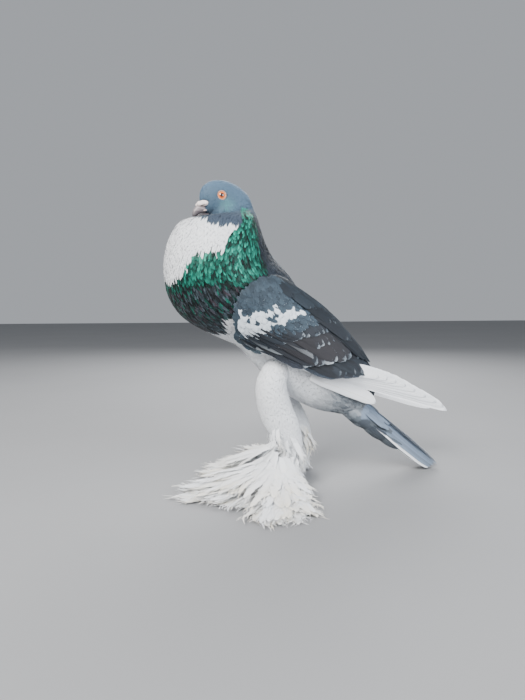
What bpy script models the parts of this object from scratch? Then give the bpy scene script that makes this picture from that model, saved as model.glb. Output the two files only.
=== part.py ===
"""Pomeranian pouter pigeon, standing at rest, as a still life-size model.

The bird faces -Y with its left side at +X, and stands on the plane z = 0.
Sizes are millimetres in the tables below and metres in the meshes.  A place
is written (x, f, z): x to the bird's left, f forward, z up from the floor.
"""

import math

import bmesh
import bpy
from mathutils import Matrix, Vector
from mathutils.bvhtree import BVHTree

# Units and clearances
MM = 0.001
GAP = 0.3
HALF_GAP = GAP / 2
CUT_GAPS = (GAP, 0.34, 0.38, 0.42)
WELD = 0.004
FLAT_ANGLE = 0.2

# Neck, crop and body, as sections from the throat to the root of the tail:
# front edge (f, z), rear edge (f, z), half width, share of the section that
# lies in front of its widest line, and how pointed its rear half is.
BODY_SECTIONS = (
    (101, 314.5, 39, 331, 25, 0.50, 1.0),
    (124, 313, 34.5, 318, 38.5, 0.52, 1.1),
    (137.5, 296, 30, 304, 50, 0.50, 1.25),
    (144, 273, 24, 289, 59, 0.47, 1.35),
    (144.5, 249, 14, 272, 63, 0.45, 1.4),
    (139, 225, -1, 256, 62, 0.44, 1.3),
    (125, 204, -14, 238, 58, 0.44, 1.2),
    (103, 189, -25, 222, 53, 0.45, 1.1),
    (80, 178, -38, 208, 49, 0.46, 1.0),
    (58, 167, -52, 194, 46, 0.47, 1.0),
    (38, 146, -66, 179, 43, 0.50, 1.0),
    (18, 122, -80, 162, 39, 0.50, 1.0),
    (-8, 103, -92, 146, 33, 0.50, 1.0),
    (-38, 88, -102, 133, 27, 0.50, 1.0),
    (-66, 81, -110, 121, 21, 0.50, 1.0),
    (-84, 78, -117, 111, 17, 0.50, 1.0),
)
TORSO_START = 8
BODY_SIDES = 28
RINGS_PER_SECTION = 2

# The crop is parted from the neck by a plane through these two (f, z) places
CROP_PLANE = ((92, 316), (56, 168))

# The head turns to the left about an upright line through f = HEAD_F
HEAD_F = 69
HEAD_YAW = 13
NECK_TURN_TOP = 313
NECK_TURN_FOOT = 245

# Head sections from the root of the bill to the throat: lower edge (h, z),
# upper edge (h, z), half width; h is forward of the head's upright line
HEAD_SECTIONS = (
    (31.0, 323, 34.2, 336, 5.0),
    (28.0, 321.8, 34.6, 344, 7.6),
    (26.0, 320.8, 31.0, 352.6, 11.2),
    (24.6, 320.0, 20, 359.5, 14.3),
    (24.2, 319.2, 4, 360.5, 16.4),
    (25.0, 318.3, -12, 355, 18.6),
    (27.6, 317.2, -24, 345, 21.5),
    (32, 314.5, -30, 331, 25.0),
)

# Eyes, lids and bill
EYE_PLACE = (11.4, 13.3, 340.8)
EYE_RADIUS = 5.8
EYE_LOOK = (0.96, 0.22, 0.05)
LID_RADIUS = 5.1
LID_THICK = 1.1
LID_FORWARD = 4.2
UPPER_BEAK = ((31, 327.5, 6.0, 5.0), (35.5, 327, 4.9, 4.6), (39.5, 323.5, 3.6, 3.5),
              (42.3, 319.3, 2.2, 2.1), (43.0, 315.4, 0.7, 0.8))
LOWER_BEAK = ((27, 320.6, 4.8, 2.8), (32, 319.6, 4.4, 2.2), (36.5, 317.9, 3.2, 1.6),
              (40.0, 316.2, 1.1, 0.8))
CERE_PLACE = (5.9, 33.2, 332.0)
CERE_RADII = (3.4, 6.8, 3.6)
CERE_SPLAY = 30
CERE_TILT = 8
CERE_BRIDGE = (0.0, 36.2, 332.8)
CERE_BRIDGE_RADII = (4.2, 2.8, 2.8)
NOSTRIL_PLACE = (8.0, 33.8, 329.6)
NOSTRIL_RADII = (1.5, 2.6, 0.5)

# Wing shield over the body, front edge and hind edge as body sections from
# its lower to its upper edge, lower and upper edge as degrees round the body
WING_FRONT = (7.4, 6.5, 5.8, 5.4, 5.5, 6.1)
WING_REAR = (12.3, 12.9, 13.2, 13.3, 13.2, 13.0)
WING_LOW = (-28, -48, -50, -37, -22, 4, 30)
WING_HIGH = (58, 70, 77, 80, 80, 80, 80)
WING_LIFT = 8.5
WING_EDGE_LIFT = 3.0
WING_CORE_LIFT = 4.2
WING_CORE_END = 0.70
WING_OVER_HAND = 4.5
WING_HAND_TOP = 0.75
WING_SINK = -4.0
WING_ROWS = 8
WING_COLUMNS = 6

# Tiers of wing feathers: how many, roots and tips of the lowest and the
# highest one as (share of the length, share of the height) of the shield,
# height over the body at root, middle and tip, half width, degrees of tilt
WING_TIERS = {
    "secondary": (6, (0.50, 0.08), (0.40, 0.74), (0.80, 0.03), (1.00, 0.72), (2.6, 7.0, 11.5), 10.5, 9),
    "greater_covert": (5, (0.24, 0.10), (0.20, 0.66), (0.60, 0.08), (0.76, 0.64), (5.5, 8.8, 12.2), 11.0, 9),
    "scapular": (3, (0.14, 0.76), (0.10, 0.94), (0.66, 0.78), (0.90, 0.90), (1.5, 12.8, 14.0), 12.0, 6),
}

# Folded hand: plane of the primaries, from its base to the longest tip, with
# each tip as (along, across) that plane, innermost primary first
HAND_BASE = (37.5, -15, 135)
HAND_TIP = (20, -213, 79)
PRIMARY_TIPS = ((92, 20), (105, 20.5), (119, 20), (134, 18.5), (150, 15.5), (168, 11.5), (186, 8),
                (200, 4.5), (207, 1), (203, -3))
SHORT_PRIMARY_TIP = (103, -12)
PRIMARY_STEP = 0.86
PRIMARY_START = (20, 1)
PRIMARY_START_STEP = (2.0, 1.5)
PRIMARY_SAG = 0.02
PRIMARY_NARROW = 2.0
HAND_CORE = ((0, -2, 14, 3.6), (14, -6, 22, 5.0), (42, -6, 26, 5.0), (60, -2, 26, 4.2))
PRIMARY_WEBS = (4.5, 12.0)

# Tail: ridge from its root to its tip, feathers a side, roof slope in degrees
TAIL_ROOT = (-98, 99)
TAIL_TIP = (-212, 6)
TAIL_FEATHERS = 6
TAIL_SLOPE = 40
TAIL_SPREAD = (2.2, 2.5)
TAIL_STEP = 0.9
TAIL_RIDGE = 0.84
TAIL_RIDGE_GAP = 0.5
TAIL_TOP_DROP = 1.0
TAIL_OUTER_SHORT = 12
TAIL_CORE = ((0, 14.5, 17, 17), (20, 17, 15.5, 15), (42, 14.5, 12, 11), (66, 10.5, 8, 7), (92, 7, 4, 3.5))
TAIL_START = 0.10
TAIL_ROOT_STEP = 2.4
TAIL_WEBS = (9.0, 8.0)

# Coverts under the tail, as (along the ridge, below it, outward) at root,
# middle and tip, and the coverts over its root on each slope
UNDERTAIL_FEATHERS = 5
UNDERTAIL_TURN = 48
UNDERTAIL_COURSE = ((22, 17, 8), (56, 15.5, 11.5), (100, 15, 5))
UNDERTAIL_STEP = 2.8
UNDERTAIL_WEB = 6.0
UPPERTAIL_DOWN = (5.0, 14.0)
UPPERTAIL_SHARE = (0.03, 0.31)
UPPERTAIL_DROP = (0.3, -0.9)
UPPERTAIL_WEB = 4.2

# Feather outlines, as (share of the length, share of the half width)
BLUNT = ((0.0, 0.5), (0.4, 1.0), (0.88, 0.85), (1.0, 0.3))
LONG = ((0.0, 0.5), (0.5, 1.0), (0.85, 0.7), (1.0, 0.15))
FRAYED = ((0.0, 0.5), (0.35, 1.0), (0.72, 0.85), (1.0, 0.12))
VANE_THICK = 0.55

# Legs: hip, hock and sole of each leg
LEGS = {
    "left": {"side": 1, "hip": (24, 12, 152), "thigh": (31, 24, 124), "knee": (32, 19, 94),
             "hock": (32, -1, 54), "sole": (37, 16, 0)},
    "right": {"side": -1, "hip": (-24, -4, 140), "thigh": (-31, 4, 112), "knee": (-32, -8, 86),
              "hock": (-33, -32, 50), "sole": (-37, -16, 0)},
}
TOES = ((0, 36, "middle"), (30, 29, "outer"), (-28, 29, "inner"), (180, 17, "hind"))
TOE_HEIGHT = 3.2
TOE_COURSE = ((0.0, 4.2), (0.45, 4.0), (0.8, 3.6), (1.0, 3.0))
CLAW_COURSE = ((0.0, 0.0, 1.9), (0.4, 0.4, 1.6), (0.8, -1.0, 0.9), (1.0, -2.4, 0.35))
CLAW_LENGTH = 9.0
FOOT_TOP = 13

# Fans of long foot feathers: how many, direction outward from straight ahead
# and length of the first and the last, height of the tips, half width
MUFFS = {
    "front": ((5, -4, 14, 128, 112, 0.3, 7.5), (3, 22, 42, 80, 68, 0.3, 8.0), (2, -8, 14, 116, 90, 18, 8.5)),
    "side": ((5, 74, 100, 120, 92, 0.3, 8.0), (3, 74, 104, 74, 62, 9, 8.0)),
}
MUFF_CORES = {"front": ((2, 16, 14.5), (13, 20, 6.5)), "side": ((15, 1, 13.5), (12, 14, 6.5))}
MUFF_STEP = 0.85
MUFF_ROOTS = (-3.0, 1.2, 3.7)
MUFF_FALL = 1.4

# Thigh half widths and depths from the hip to the hock, and its loose feathers
# behind and in front: how many, degrees to each side, way they point, root and
# tip as shares up the leg with their reach, fall of the tip, bulge
THIGH_RADII = ((11, 13), (16, 18), (15, 19.5), (13, 17.5), (10, 13))
LOOSE_FEATHERS = (
    (5, 60, 1, 0.30, 9, 0.0, 21, 18, 5),
    (3, 32, -1, 0.69, 10, 0.10, 30, 0, 4),
)


def place(x, f, z):
    """A place in metres from its x, f and z in millimetres."""
    return Vector((x * MM, -f * MM, z * MM))


def spline(values, k):
    """A smooth curve through evenly spaced values, read at k."""
    last = len(values) - 1
    k = min(max(k, 0.0), float(last))
    i = min(int(k), last - 1)
    t = k - i
    p1 = values[i]
    p2 = values[i + 1]
    p0 = values[i - 1] if i > 0 else 2 * p1 - p2
    p3 = values[i + 2] if i + 2 <= last else 2 * p2 - p1
    return 0.5 * (2 * p1 + (p2 - p0) * t + (2 * p0 - 5 * p1 + 4 * p2 - p3) * t * t
                  + (3 * p1 - p0 - 3 * p2 + p3) * t ** 3)


def row_at(table, k):
    """All the columns of a table of sections, read at section number k."""
    return [spline(column, k) for column in zip(*table)]


def turned(point, angle):
    """A point turned to the bird's left by an angle about the head's upright line."""
    pivot = place(0, HEAD_F, 0)
    return pivot + Matrix.Rotation(math.radians(angle), 3, "Z") @ (point - pivot)


def neck_turned(point):
    """A point of the neck, turned less and less from the throat to the crop."""
    height = point.z / MM
    share = (height - NECK_TURN_FOOT) / (NECK_TURN_TOP - NECK_TURN_FOOT)
    share = min(max(share, 0.0), 1.0)
    return turned(point, HEAD_YAW * share * share * (3 - 2 * share))


def section_point(row, angle, lift=0.0):
    """A point on one section at an angle round it: 0 left side, 90 back, -90 belly."""
    front_f, front_z, rear_f, rear_z, half_width, widest, power = row
    length = math.hypot(rear_f - front_f, rear_z - front_z)
    c = math.cos(math.radians(angle))
    s = math.sin(math.radians(angle))
    reach = length * (1 - widest if s > 0 else widest)
    narrow = power if s > 0 else 1.0
    x = half_width * math.copysign(abs(c) ** narrow, c)
    along = reach * s
    out = Vector((c / half_width, s / reach)).normalized() * lift
    x += out.x
    share = widest + (along + out.y) / length
    f = front_f + (rear_f - front_f) * share
    z = front_z + (rear_z - front_z) * share
    return place(x, f, z)


def head_row(k):
    """A head section in the layout of the body sections."""
    low_h, low_z, top_h, top_z, half_width = row_at(HEAD_SECTIONS, k)
    return (low_h + HEAD_F, low_z, top_h + HEAD_F, top_z, half_width, 0.5, 1.0)


def head_place(x, h, z):
    """A place on the turned head: x to its left, h forward of its upright line."""
    return turned(place(x, h + HEAD_F, z), HEAD_YAW)


def mesh_object(name, points, faces):
    """A mesh object with its faces turned outward."""
    mesh = bpy.data.meshes.new(name)
    mesh.from_pydata([tuple(p) for p in points], [], faces)
    bm = bmesh.new()
    bm.from_mesh(mesh)
    bmesh.ops.recalc_face_normals(bm, faces=bm.faces)
    bm.to_mesh(mesh)
    bm.free()
    obj = bpy.data.objects.new(name, mesh)
    bpy.context.scene.collection.objects.link(obj)
    return obj


def loft(name, rings):
    """A closed solid through rings of equally many points, with flat ends."""
    count = len(rings[0])
    points = [p for ring in rings for p in ring]
    faces = []
    for r in range(len(rings) - 1):
        for i in range(count):
            j = (i + 1) % count
            faces.append((r * count + i, r * count + j, (r + 1) * count + j, (r + 1) * count + i))
    faces.append(tuple(range(count)))
    faces.append(tuple(range((len(rings) - 1) * count, len(rings) * count)))
    return mesh_object(name, points, faces)


def oval_ring(centre, across, up, half_across, half_up, sides, power=1.0):
    """A ring of points round a centre, squarer where the power is less than 1."""
    ring = []
    for i in range(sides):
        a = 2 * math.pi * i / sides
        c = math.copysign(abs(math.cos(a)) ** power, math.cos(a))
        s = math.copysign(abs(math.sin(a)) ** power, math.sin(a))
        ring.append(centre + across * (half_across * c) + up * (half_up * s))
    return ring


def tube(name, spots, sides=12, across=Vector((1, 0, 0)), floor=False):
    """A closed solid along spots of (centre, half width, half depth)."""
    rings = []
    for i, (centre, half_across, half_up) in enumerate(spots):
        ahead = spots[min(i + 1, len(spots) - 1)][0]
        behind = spots[max(i - 1, 0)][0]
        along = (ahead - behind).normalized()
        up = along.cross(across).normalized()
        side = up.cross(along).normalized()
        ring = oval_ring(centre, side, up, half_across, half_up, sides)
        if floor:
            ring = [Vector((p.x, p.y, max(p.z, 0.0))) for p in ring]
        rings.append(ring)
    return loft(name, rings)


def ball(name, centre, radii, turn=None, segments=20, rings=12):
    """An ellipsoid with radii in millimetres, turned by a rotation matrix."""
    bm = bmesh.new()
    bmesh.ops.create_uvsphere(bm, u_segments=segments, v_segments=rings, radius=1.0)
    size = Matrix.Diagonal(Vector((radii[0] * MM, radii[1] * MM, radii[2] * MM, 1)))
    frame = Matrix.Translation(centre) @ (turn or Matrix.Identity(4)) @ size
    bmesh.ops.transform(bm, matrix=frame, verts=bm.verts)
    mesh = bpy.data.meshes.new(name)
    bm.to_mesh(mesh)
    bm.free()
    obj = bpy.data.objects.new(name, mesh)
    bpy.context.scene.collection.objects.link(obj)
    return obj


def ring_torus(name, centre, axis, radius, thick):
    """A ring round an axis, for the rim of the lids."""
    frame = axis.to_track_quat("Z", "Y").to_matrix().to_4x4()
    points = []
    faces = []
    around = 14
    sides = 6
    for i in range(around):
        a = 2 * math.pi * i / around
        for j in range(sides):
            b = 2 * math.pi * j / sides
            r = (radius + thick * math.cos(b)) * MM
            local = Vector((r * math.cos(a), r * math.sin(a), thick * math.sin(b) * MM))
            points.append(centre + frame.to_3x3() @ local)
            ni = (i + 1) % around
            nj = (j + 1) % sides
            faces.append((i * sides + j, ni * sides + j, ni * sides + nj, i * sides + nj))
    return mesh_object(name, points, faces)


def vane(name, spot, webs, outline, columns=(-1, 1), thick=VANE_THICK):
    """A thin feather, split into triangles alike on both faces.

    The spot is a function of the share of its length, the distance across and
    the height over its middle, and the webs are the half widths on its two sides.
    """
    points = []
    for share, width in outline:
        for rise in (thick / 2, -thick / 2):
            for column in columns:
                points.append(spot(share, column * width * webs[0 if column < 0 else 1], rise))
    faces = []

    def quad(a, b, c, d):
        faces.append((a, b, c))
        faces.append((a, c, d))

    wide = len(columns)
    last = (len(outline) - 1) * 2 * wide
    for a in range(0, last, 2 * wide):
        b = a + 2 * wide
        for j in range(wide - 1):
            quad(a + j, a + j + 1, b + j + 1, b + j)
            quad(a + wide + j, a + wide + j + 1, b + wide + j + 1, b + wide + j)
        quad(a, a + wide, b + wide, b)
        quad(a + wide - 1, a + 2 * wide - 1, b + 2 * wide - 1, b + wide - 1)
    for a in (0, last):
        for j in range(wide - 1):
            quad(a + j, a + j + 1, a + wide + j + 1, a + wide + j)
    return mesh_object(name, points, faces)


def blade(name, course, facing, webs, outline):
    """A vane that is flat across, along a course and facing one way."""
    def spot(share, across, rise):
        along = (course(min(share + 0.02, 1.0)) - course(max(share - 0.02, 0.0))).normalized()
        normal = (facing - along * facing.dot(along)).normalized()
        return course(share) + normal.cross(along) * (across * MM) + normal * (rise * MM)

    return vane(name, spot, webs, outline)


def bowed(start, end, bow):
    """A course from start to end that bows by a vector at its middle."""
    return lambda share: start.lerp(end, share) + bow * (4 * share * (1 - share))


def through(start, middle, end):
    """A course through three places."""
    bow = middle - start.lerp(end, 0.5)
    return bowed(start, end, bow)


def largest_shell(mesh):
    """Welds the slivers that a cut leaves, keeps the largest surface, and tells if it is closed."""
    bm = bmesh.new()
    bm.from_mesh(mesh)
    bmesh.ops.remove_doubles(bm, verts=bm.verts, dist=WELD * MM)
    bmesh.ops.dissolve_degenerate(bm, edges=bm.edges, dist=WELD * MM)
    bm.normal_update()
    left = set(bm.faces)
    shells = []
    while left:
        seed = left.pop()
        shell = [seed]
        stack = [seed]
        while stack:
            face = stack.pop()
            for edge in face.edges:
                for near in edge.link_faces:
                    if near in left:
                        left.remove(near)
                        shell.append(near)
                        stack.append(near)
        shells.append(shell)

    def content(shell):
        return abs(sum(face.calc_center_median().dot(face.normal) * face.calc_area() for face in shell))

    shells.sort(key=content, reverse=True)
    for shell in shells[1:]:
        bmesh.ops.delete(bm, geom=shell, context="FACES")
    bmesh.ops.dissolve_limit(bm, angle_limit=math.radians(FLAT_ANGLE), verts=bm.verts, edges=bm.edges)
    closed = len(bm.faces) > 0 and all(edge.is_manifold for edge in bm.edges)
    bm.to_mesh(mesh)
    bm.free()
    return closed


def boolean(obj, others, operation, solvers=("EXACT", "MANIFOLD")):
    """Applies one Boolean of an object with a collection of closed mesh objects."""
    group = bpy.data.collections.new("operands")
    bpy.context.scene.collection.children.link(group)
    for other in others:
        bpy.context.scene.collection.objects.unlink(other)
        group.objects.link(other)
    modifier = obj.modifiers.new("join", "BOOLEAN")
    modifier.operation = operation
    modifier.operand_type = "COLLECTION"
    modifier.collection = group
    for solver in solvers:
        modifier.solver = solver
        graph = bpy.context.evaluated_depsgraph_get()
        graph.update()
        mesh = bpy.data.meshes.new_from_object(obj.evaluated_get(graph))
        if largest_shell(mesh):
            break
    obj.modifiers.remove(modifier)
    obj.data = mesh
    for other in others:
        group.objects.unlink(other)
        bpy.data.objects.remove(other)
    bpy.data.collections.remove(group)
    return obj


def inflated(obj, distance=GAP):
    """A copy of an object whose surface lies a little further out."""
    mesh = obj.data.copy()
    bm = bmesh.new()
    bm.from_mesh(mesh)
    bm.normal_update()
    moves = {v: v.normal * (distance * MM * min(v.calc_shell_factor(), 1.6)) for v in bm.verts}
    for v, move in moves.items():
        v.co += move
    bm.to_mesh(mesh)
    bm.free()
    copy = bpy.data.objects.new("fit", mesh)
    bpy.context.scene.collection.objects.link(copy)
    return copy


def surface_tree(mesh):
    """The faces of a mesh, ready for a search."""
    return BVHTree.FromPolygons([v.co for v in mesh.vertices], [p.vertices[:] for p in mesh.polygons])


def cut_clear(obj, neighbours):
    """Cuts an object clear of its finished neighbours, a little wider where they still touch."""
    for near in neighbours:
        whole = obj.data
        other = surface_tree(near.data)
        for distance in CUT_GAPS:
            obj.data = whole.copy()
            boolean(obj, [inflated(near, distance)], "DIFFERENCE")
            if not surface_tree(obj.data).overlap(other):
                break
    return obj


def sliced(obj, name, point, normal):
    """A copy of an object that keeps only what lies behind a plane."""
    mesh = obj.data.copy()
    bm = bmesh.new()
    bm.from_mesh(mesh)
    geom = list(bm.verts) + list(bm.edges) + list(bm.faces)
    bmesh.ops.bisect_plane(bm, geom=geom, dist=1e-7, plane_co=point, plane_no=normal,
                           clear_outer=True)
    rim = [e for e in bm.edges if e.is_boundary]
    bmesh.ops.holes_fill(bm, edges=rim, sides=0)
    bmesh.ops.recalc_face_normals(bm, faces=bm.faces)
    bm.to_mesh(mesh)
    bm.free()
    piece = bpy.data.objects.new(name, mesh)
    bpy.context.scene.collection.objects.link(piece)
    return piece


def body_rings(first, last):
    """Rings of the neck and body from one section to another, half a gap inside each end."""
    rings = []
    steps = (last - first) * RINGS_PER_SECTION
    for i in range(steps + 1):
        row = row_at(BODY_SECTIONS, first + i / RINGS_PER_SECTION)
        ring = [section_point(row, 360 * a / BODY_SIDES) for a in range(BODY_SIDES)]
        if i in (0, steps):
            front = place(0, row[0], row[1])
            rear = place(0, row[2], row[3])
            along = Vector((1, 0, 0)).cross(rear - front).normalized()
            if along.z > 0:
                along = -along
            shift = along * (HALF_GAP * MM) * (1 if i == 0 else -1)
            ring = [p + shift for p in ring]
        rings.append([neck_turned(p) for p in ring])
    return rings


def make_neck_and_crop(whole):
    """The neck from the throat to the shoulders, and the blown crop in front of it."""
    top = place(0, *CROP_PLANE[0])
    foot = place(0, *CROP_PLANE[1])
    forward = Vector((1, 0, 0)).cross(foot - top).normalized()
    if forward.y > 0:
        forward = -forward
    neck = sliced(whole, "neck", top - forward * (HALF_GAP * MM), forward)
    crop = sliced(whole, "crop", top + forward * (HALF_GAP * MM), -forward)
    return neck, crop


def make_torso():
    """Breast, back and belly, from the shoulders to the root of the tail."""
    return loft("torso", body_rings(TORSO_START, len(BODY_SECTIONS) - 1))


def make_eye(side):
    """One eyeball, and the rim of its lids."""
    x, h, z = EYE_PLACE
    centre = head_place(side * x, h, z)
    look = Matrix.Rotation(math.radians(HEAD_YAW), 3, "Z") @ Vector(
        (side * EYE_LOOK[0], -EYE_LOOK[1], EYE_LOOK[2])).normalized()
    frame = look.to_track_quat("Z", "Y").to_matrix().to_4x4()
    name = "left" if side > 0 else "right"
    eye = ball("eye_" + name, centre, (EYE_RADIUS,) * 3, frame, 14, 8)
    lid = ring_torus("lid", centre + look * (LID_FORWARD * MM), look, LID_RADIUS, LID_THICK)
    return eye, lid


def make_head():
    """The head with the rims of its lids and the sockets of both eyes."""
    rings = []
    steps = (len(HEAD_SECTIONS) - 1) * RINGS_PER_SECTION
    for i in range(steps + 1):
        row = head_row(i / RINGS_PER_SECTION)
        ring = [section_point(row, 360 * a / BODY_SIDES) for a in range(BODY_SIDES)]
        if i == steps:
            front = place(0, row[0], row[1])
            rear = place(0, row[2], row[3])
            up = Vector((1, 0, 0)).cross(rear - front).normalized()
            up = up if up.z > 0 else -up
            ring = [p + up * (HALF_GAP * MM) for p in ring]
        rings.append([turned(p, HEAD_YAW) for p in ring])
    head = loft("head", rings)
    left_eye, left_lid = make_eye(1)
    right_eye, right_lid = make_eye(-1)
    boolean(head, [left_lid, right_lid], "UNION")
    cut_clear(head, [left_eye, right_eye])
    return head, left_eye, right_eye


def make_bill(head):
    """Upper beak, lower beak, and the two-lobed cere with its nostrils."""
    across = Matrix.Rotation(math.radians(HEAD_YAW), 3, "Z") @ Vector((1, 0, 0))
    upper = tube("upper_beak", [(head_place(0, h, z), w * MM, d * MM) for h, z, w, d in UPPER_BEAK],
                 14, across)
    cut_clear(upper, [head])
    lower = tube("lower_beak", [(head_place(0, h, z), w * MM, d * MM) for h, z, w, d in LOWER_BEAK],
                 14, across)
    cut_clear(lower, [head, upper])
    yaw = Matrix.Rotation(math.radians(HEAD_YAW), 4, "Z")
    tilt = Matrix.Rotation(math.radians(CERE_TILT), 4, "X")
    lobes = []
    slits = []
    for side in (1, -1):
        splay = Matrix.Rotation(math.radians(-side * CERE_SPLAY), 4, "Z")
        x, h, z = CERE_PLACE
        lobes.append(ball("lobe", head_place(side * x, h, z), CERE_RADII, yaw @ splay @ tilt, 8, 6))
        x, h, z = NOSTRIL_PLACE
        slits.append(ball("slit", head_place(side * x, h, z), NOSTRIL_RADII, yaw @ splay @ tilt, 6, 4))
    cere = ball("cere", head_place(*CERE_BRIDGE), CERE_BRIDGE_RADII, yaw, 8, 5)
    boolean(cere, lobes, "UNION")
    boolean(cere, slits, "DIFFERENCE")
    cut_clear(cere, [head, upper])
    return upper, lower, cere


def wing_spot(u, v):
    """Body section and angle of a place on the wing shield."""
    first = spline(WING_FRONT, v * (len(WING_FRONT) - 1))
    last = spline(WING_REAR, v * (len(WING_REAR) - 1))
    low = spline(WING_LOW, u * (len(WING_LOW) - 1))
    high = spline(WING_HIGH, u * (len(WING_HIGH) - 1))
    return first + (last - first) * u, low + (high - low) * v


def mirrored(point, side):
    """A point, or its mirror image on the right side."""
    return Vector((point.x * side, point.y, point.z))


def wing_point(u, v, lift, side):
    """A place over the shield of one wing, at a height over the body."""
    k, angle = wing_spot(u, v)
    return mirrored(section_point(row_at(BODY_SECTIONS, k), angle, lift), side)


def wing_core_lift(u, v):
    """Height of the shield's core over the body: high in front, low under the tiers."""
    rim = min(1.0, 4 * min(v, 1 - v) + 0.15, 5 * u + 0.1)
    share = min(max((u - 0.2) / 0.22, 0.0), 1.0)
    top = WING_LIFT + (WING_CORE_LIFT - WING_LIFT) * share
    return WING_EDGE_LIFT + (top - WING_EDGE_LIFT) * rim


def wing_core(side):
    """The shield's core from its front edge to under its secondaries."""
    points = []
    for outer in (True, False):
        for i in range(WING_ROWS + 1):
            for j in range(WING_COLUMNS + 1):
                u = WING_CORE_END * i / WING_ROWS
                v = j / WING_COLUMNS
                points.append(wing_point(u, v, wing_core_lift(u, v) if outer else WING_SINK, side))
    across = WING_COLUMNS + 1
    layer = (WING_ROWS + 1) * across
    faces = []
    for i in range(WING_ROWS):
        for j in range(WING_COLUMNS):
            a = i * across + j
            for shift in (0, layer):
                faces.append((a + shift, a + 1 + shift, a + 1 + across + shift))
                faces.append((a + shift, a + 1 + across + shift, a + across + shift))
    rim = list(range(across))
    rim += [i * across + across - 1 for i in range(1, WING_ROWS + 1)]
    rim += [WING_ROWS * across + j for j in range(WING_COLUMNS - 1, -1, -1)]
    rim += [i * across for i in range(WING_ROWS - 1, 0, -1)]
    for n, a in enumerate(rim):
        b = rim[(n + 1) % len(rim)]
        faces.append((a, b, b + layer, a + layer))
    return mesh_object("wing_left" if side > 0 else "wing_right", points, faces)


def wing_tier(side, tier):
    """One tier of overlapping wing feathers, the lowest one first."""
    count, root_low, root_high, tip_low, tip_high, lifts, half_width, tilt = tier
    lean = math.tan(math.radians(tilt))
    vanes = []
    for n in range(count):
        share = n / (count - 1)
        root = [a + (b - a) * share for a, b in zip(root_low, root_high)]
        tip = [a + (b - a) * share for a, b in zip(tip_low, tip_high)]

        def spot(t, across, rise, root=root, tip=tip):
            u = root[0] + (tip[0] - root[0]) * t
            v = root[1] + (tip[1] - root[1]) * t
            lift = lifts[0] * (1 - t) * (1 - 2 * t) + lifts[1] * 4 * t * (1 - t) + lifts[2] * t * (2 * t - 1)
            lift += WING_OVER_HAND * t * min(1.0, max(0.0, (WING_HAND_TOP - v) / 0.25))
            girth = (wing_point(u, v + 0.02, lift, side) - wing_point(u, v - 0.02, lift, side)).length / 0.04
            return wing_point(u, v + across * MM / girth, lift + rise - across * lean, side)

        vanes.append(vane("feather", spot, (half_width, half_width), BLUNT, (-1, 0, 1)))
    return vanes


def make_wing(side, neighbours):
    """The folded wing's shield on one side, with its tiers of feathers."""
    wing = wing_core(side)
    cut_clear(wing, neighbours)
    feathers = []
    for tier in WING_TIERS.values():
        feathers += wing_tier(side, tier)
    return boolean(wing, feathers, "UNION", ("MANIFOLD", "EXACT"))


def hand_frame(side):
    """The plane of the primaries: base, along, across and outward."""
    base = place(*HAND_BASE)
    along = (place(*HAND_TIP) - base).normalized()
    out = Vector((1, 0, 0))
    out = (out - along * out.dot(along)).normalized()
    across = along.cross(out)
    if across.z < 0:
        across = -across
    return [mirrored(v, side) for v in (base, along, across, out)]


def make_hand(side):
    """The core that the primaries grow from, under the secondaries."""
    base, along, across, out = hand_frame(side)
    rings = []
    for far, low, high, half in HAND_CORE:
        centre = base + along * (far * MM) + across * ((low + high) / 2 * MM)
        rings.append(oval_ring(centre, across, out, (high - low) / 2 * MM, half * MM, 12, 0.5))
    return loft("primaries_left" if side > 0 else "primaries_right", rings)


def make_primaries(side, torso):
    """The ten primaries of one folded wing, the innermost outermost in the stack."""
    hand = make_hand(side)
    base, along, across, out = hand_frame(side)
    last = len(PRIMARY_TIPS) - 1
    blades = []
    for n, (far, high) in enumerate(PRIMARY_TIPS):
        if side > 0 and n == last:
            far, high = SHORT_PRIMARY_TIP
        level = out * ((last / 2 - n) * PRIMARY_STEP * MM)
        start_far = PRIMARY_START[0] + PRIMARY_START_STEP[0] * (last - n)
        start_high = PRIMARY_START[1] + PRIMARY_START_STEP[1] * (last - n)
        start = base + along * (start_far * MM) + across * (start_high * MM) + level
        end = base + along * (far * MM) + across * (high * MM) + level
        sag = across * (-PRIMARY_SAG * (far - PRIMARY_START[0]) * MM)
        outer, inner = PRIMARY_WEBS
        inner -= PRIMARY_NARROW * max(0, 4 - n)
        webs = (outer, inner) if side > 0 else (inner, outer)
        blades.append(blade("feather", bowed(start, end, sag), out, webs, LONG))
    boolean(hand, blades, "UNION", ("MANIFOLD", "EXACT"))
    return cut_clear(hand, [torso])


def tail_place(share, down, side, drop=0.0):
    """A place on one slope of the tail: share of its length, distance down the slope."""
    root = place(0, *TAIL_ROOT)
    tip = place(0, *TAIL_TIP)
    along = (tip - root).normalized()
    up = Vector((side, 0, 0)).cross(along) * side
    if up.z < 0:
        up = -up
    slope = math.radians(TAIL_SLOPE)
    outward = Vector((side * math.cos(slope), 0, 0)) - up * math.sin(slope)
    normal = up * math.cos(slope) + Vector((side * math.sin(slope), 0, 0))
    point = root.lerp(tip, share) + outward * (down * MM) - normal * (drop * MM)
    return point, normal


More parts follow.
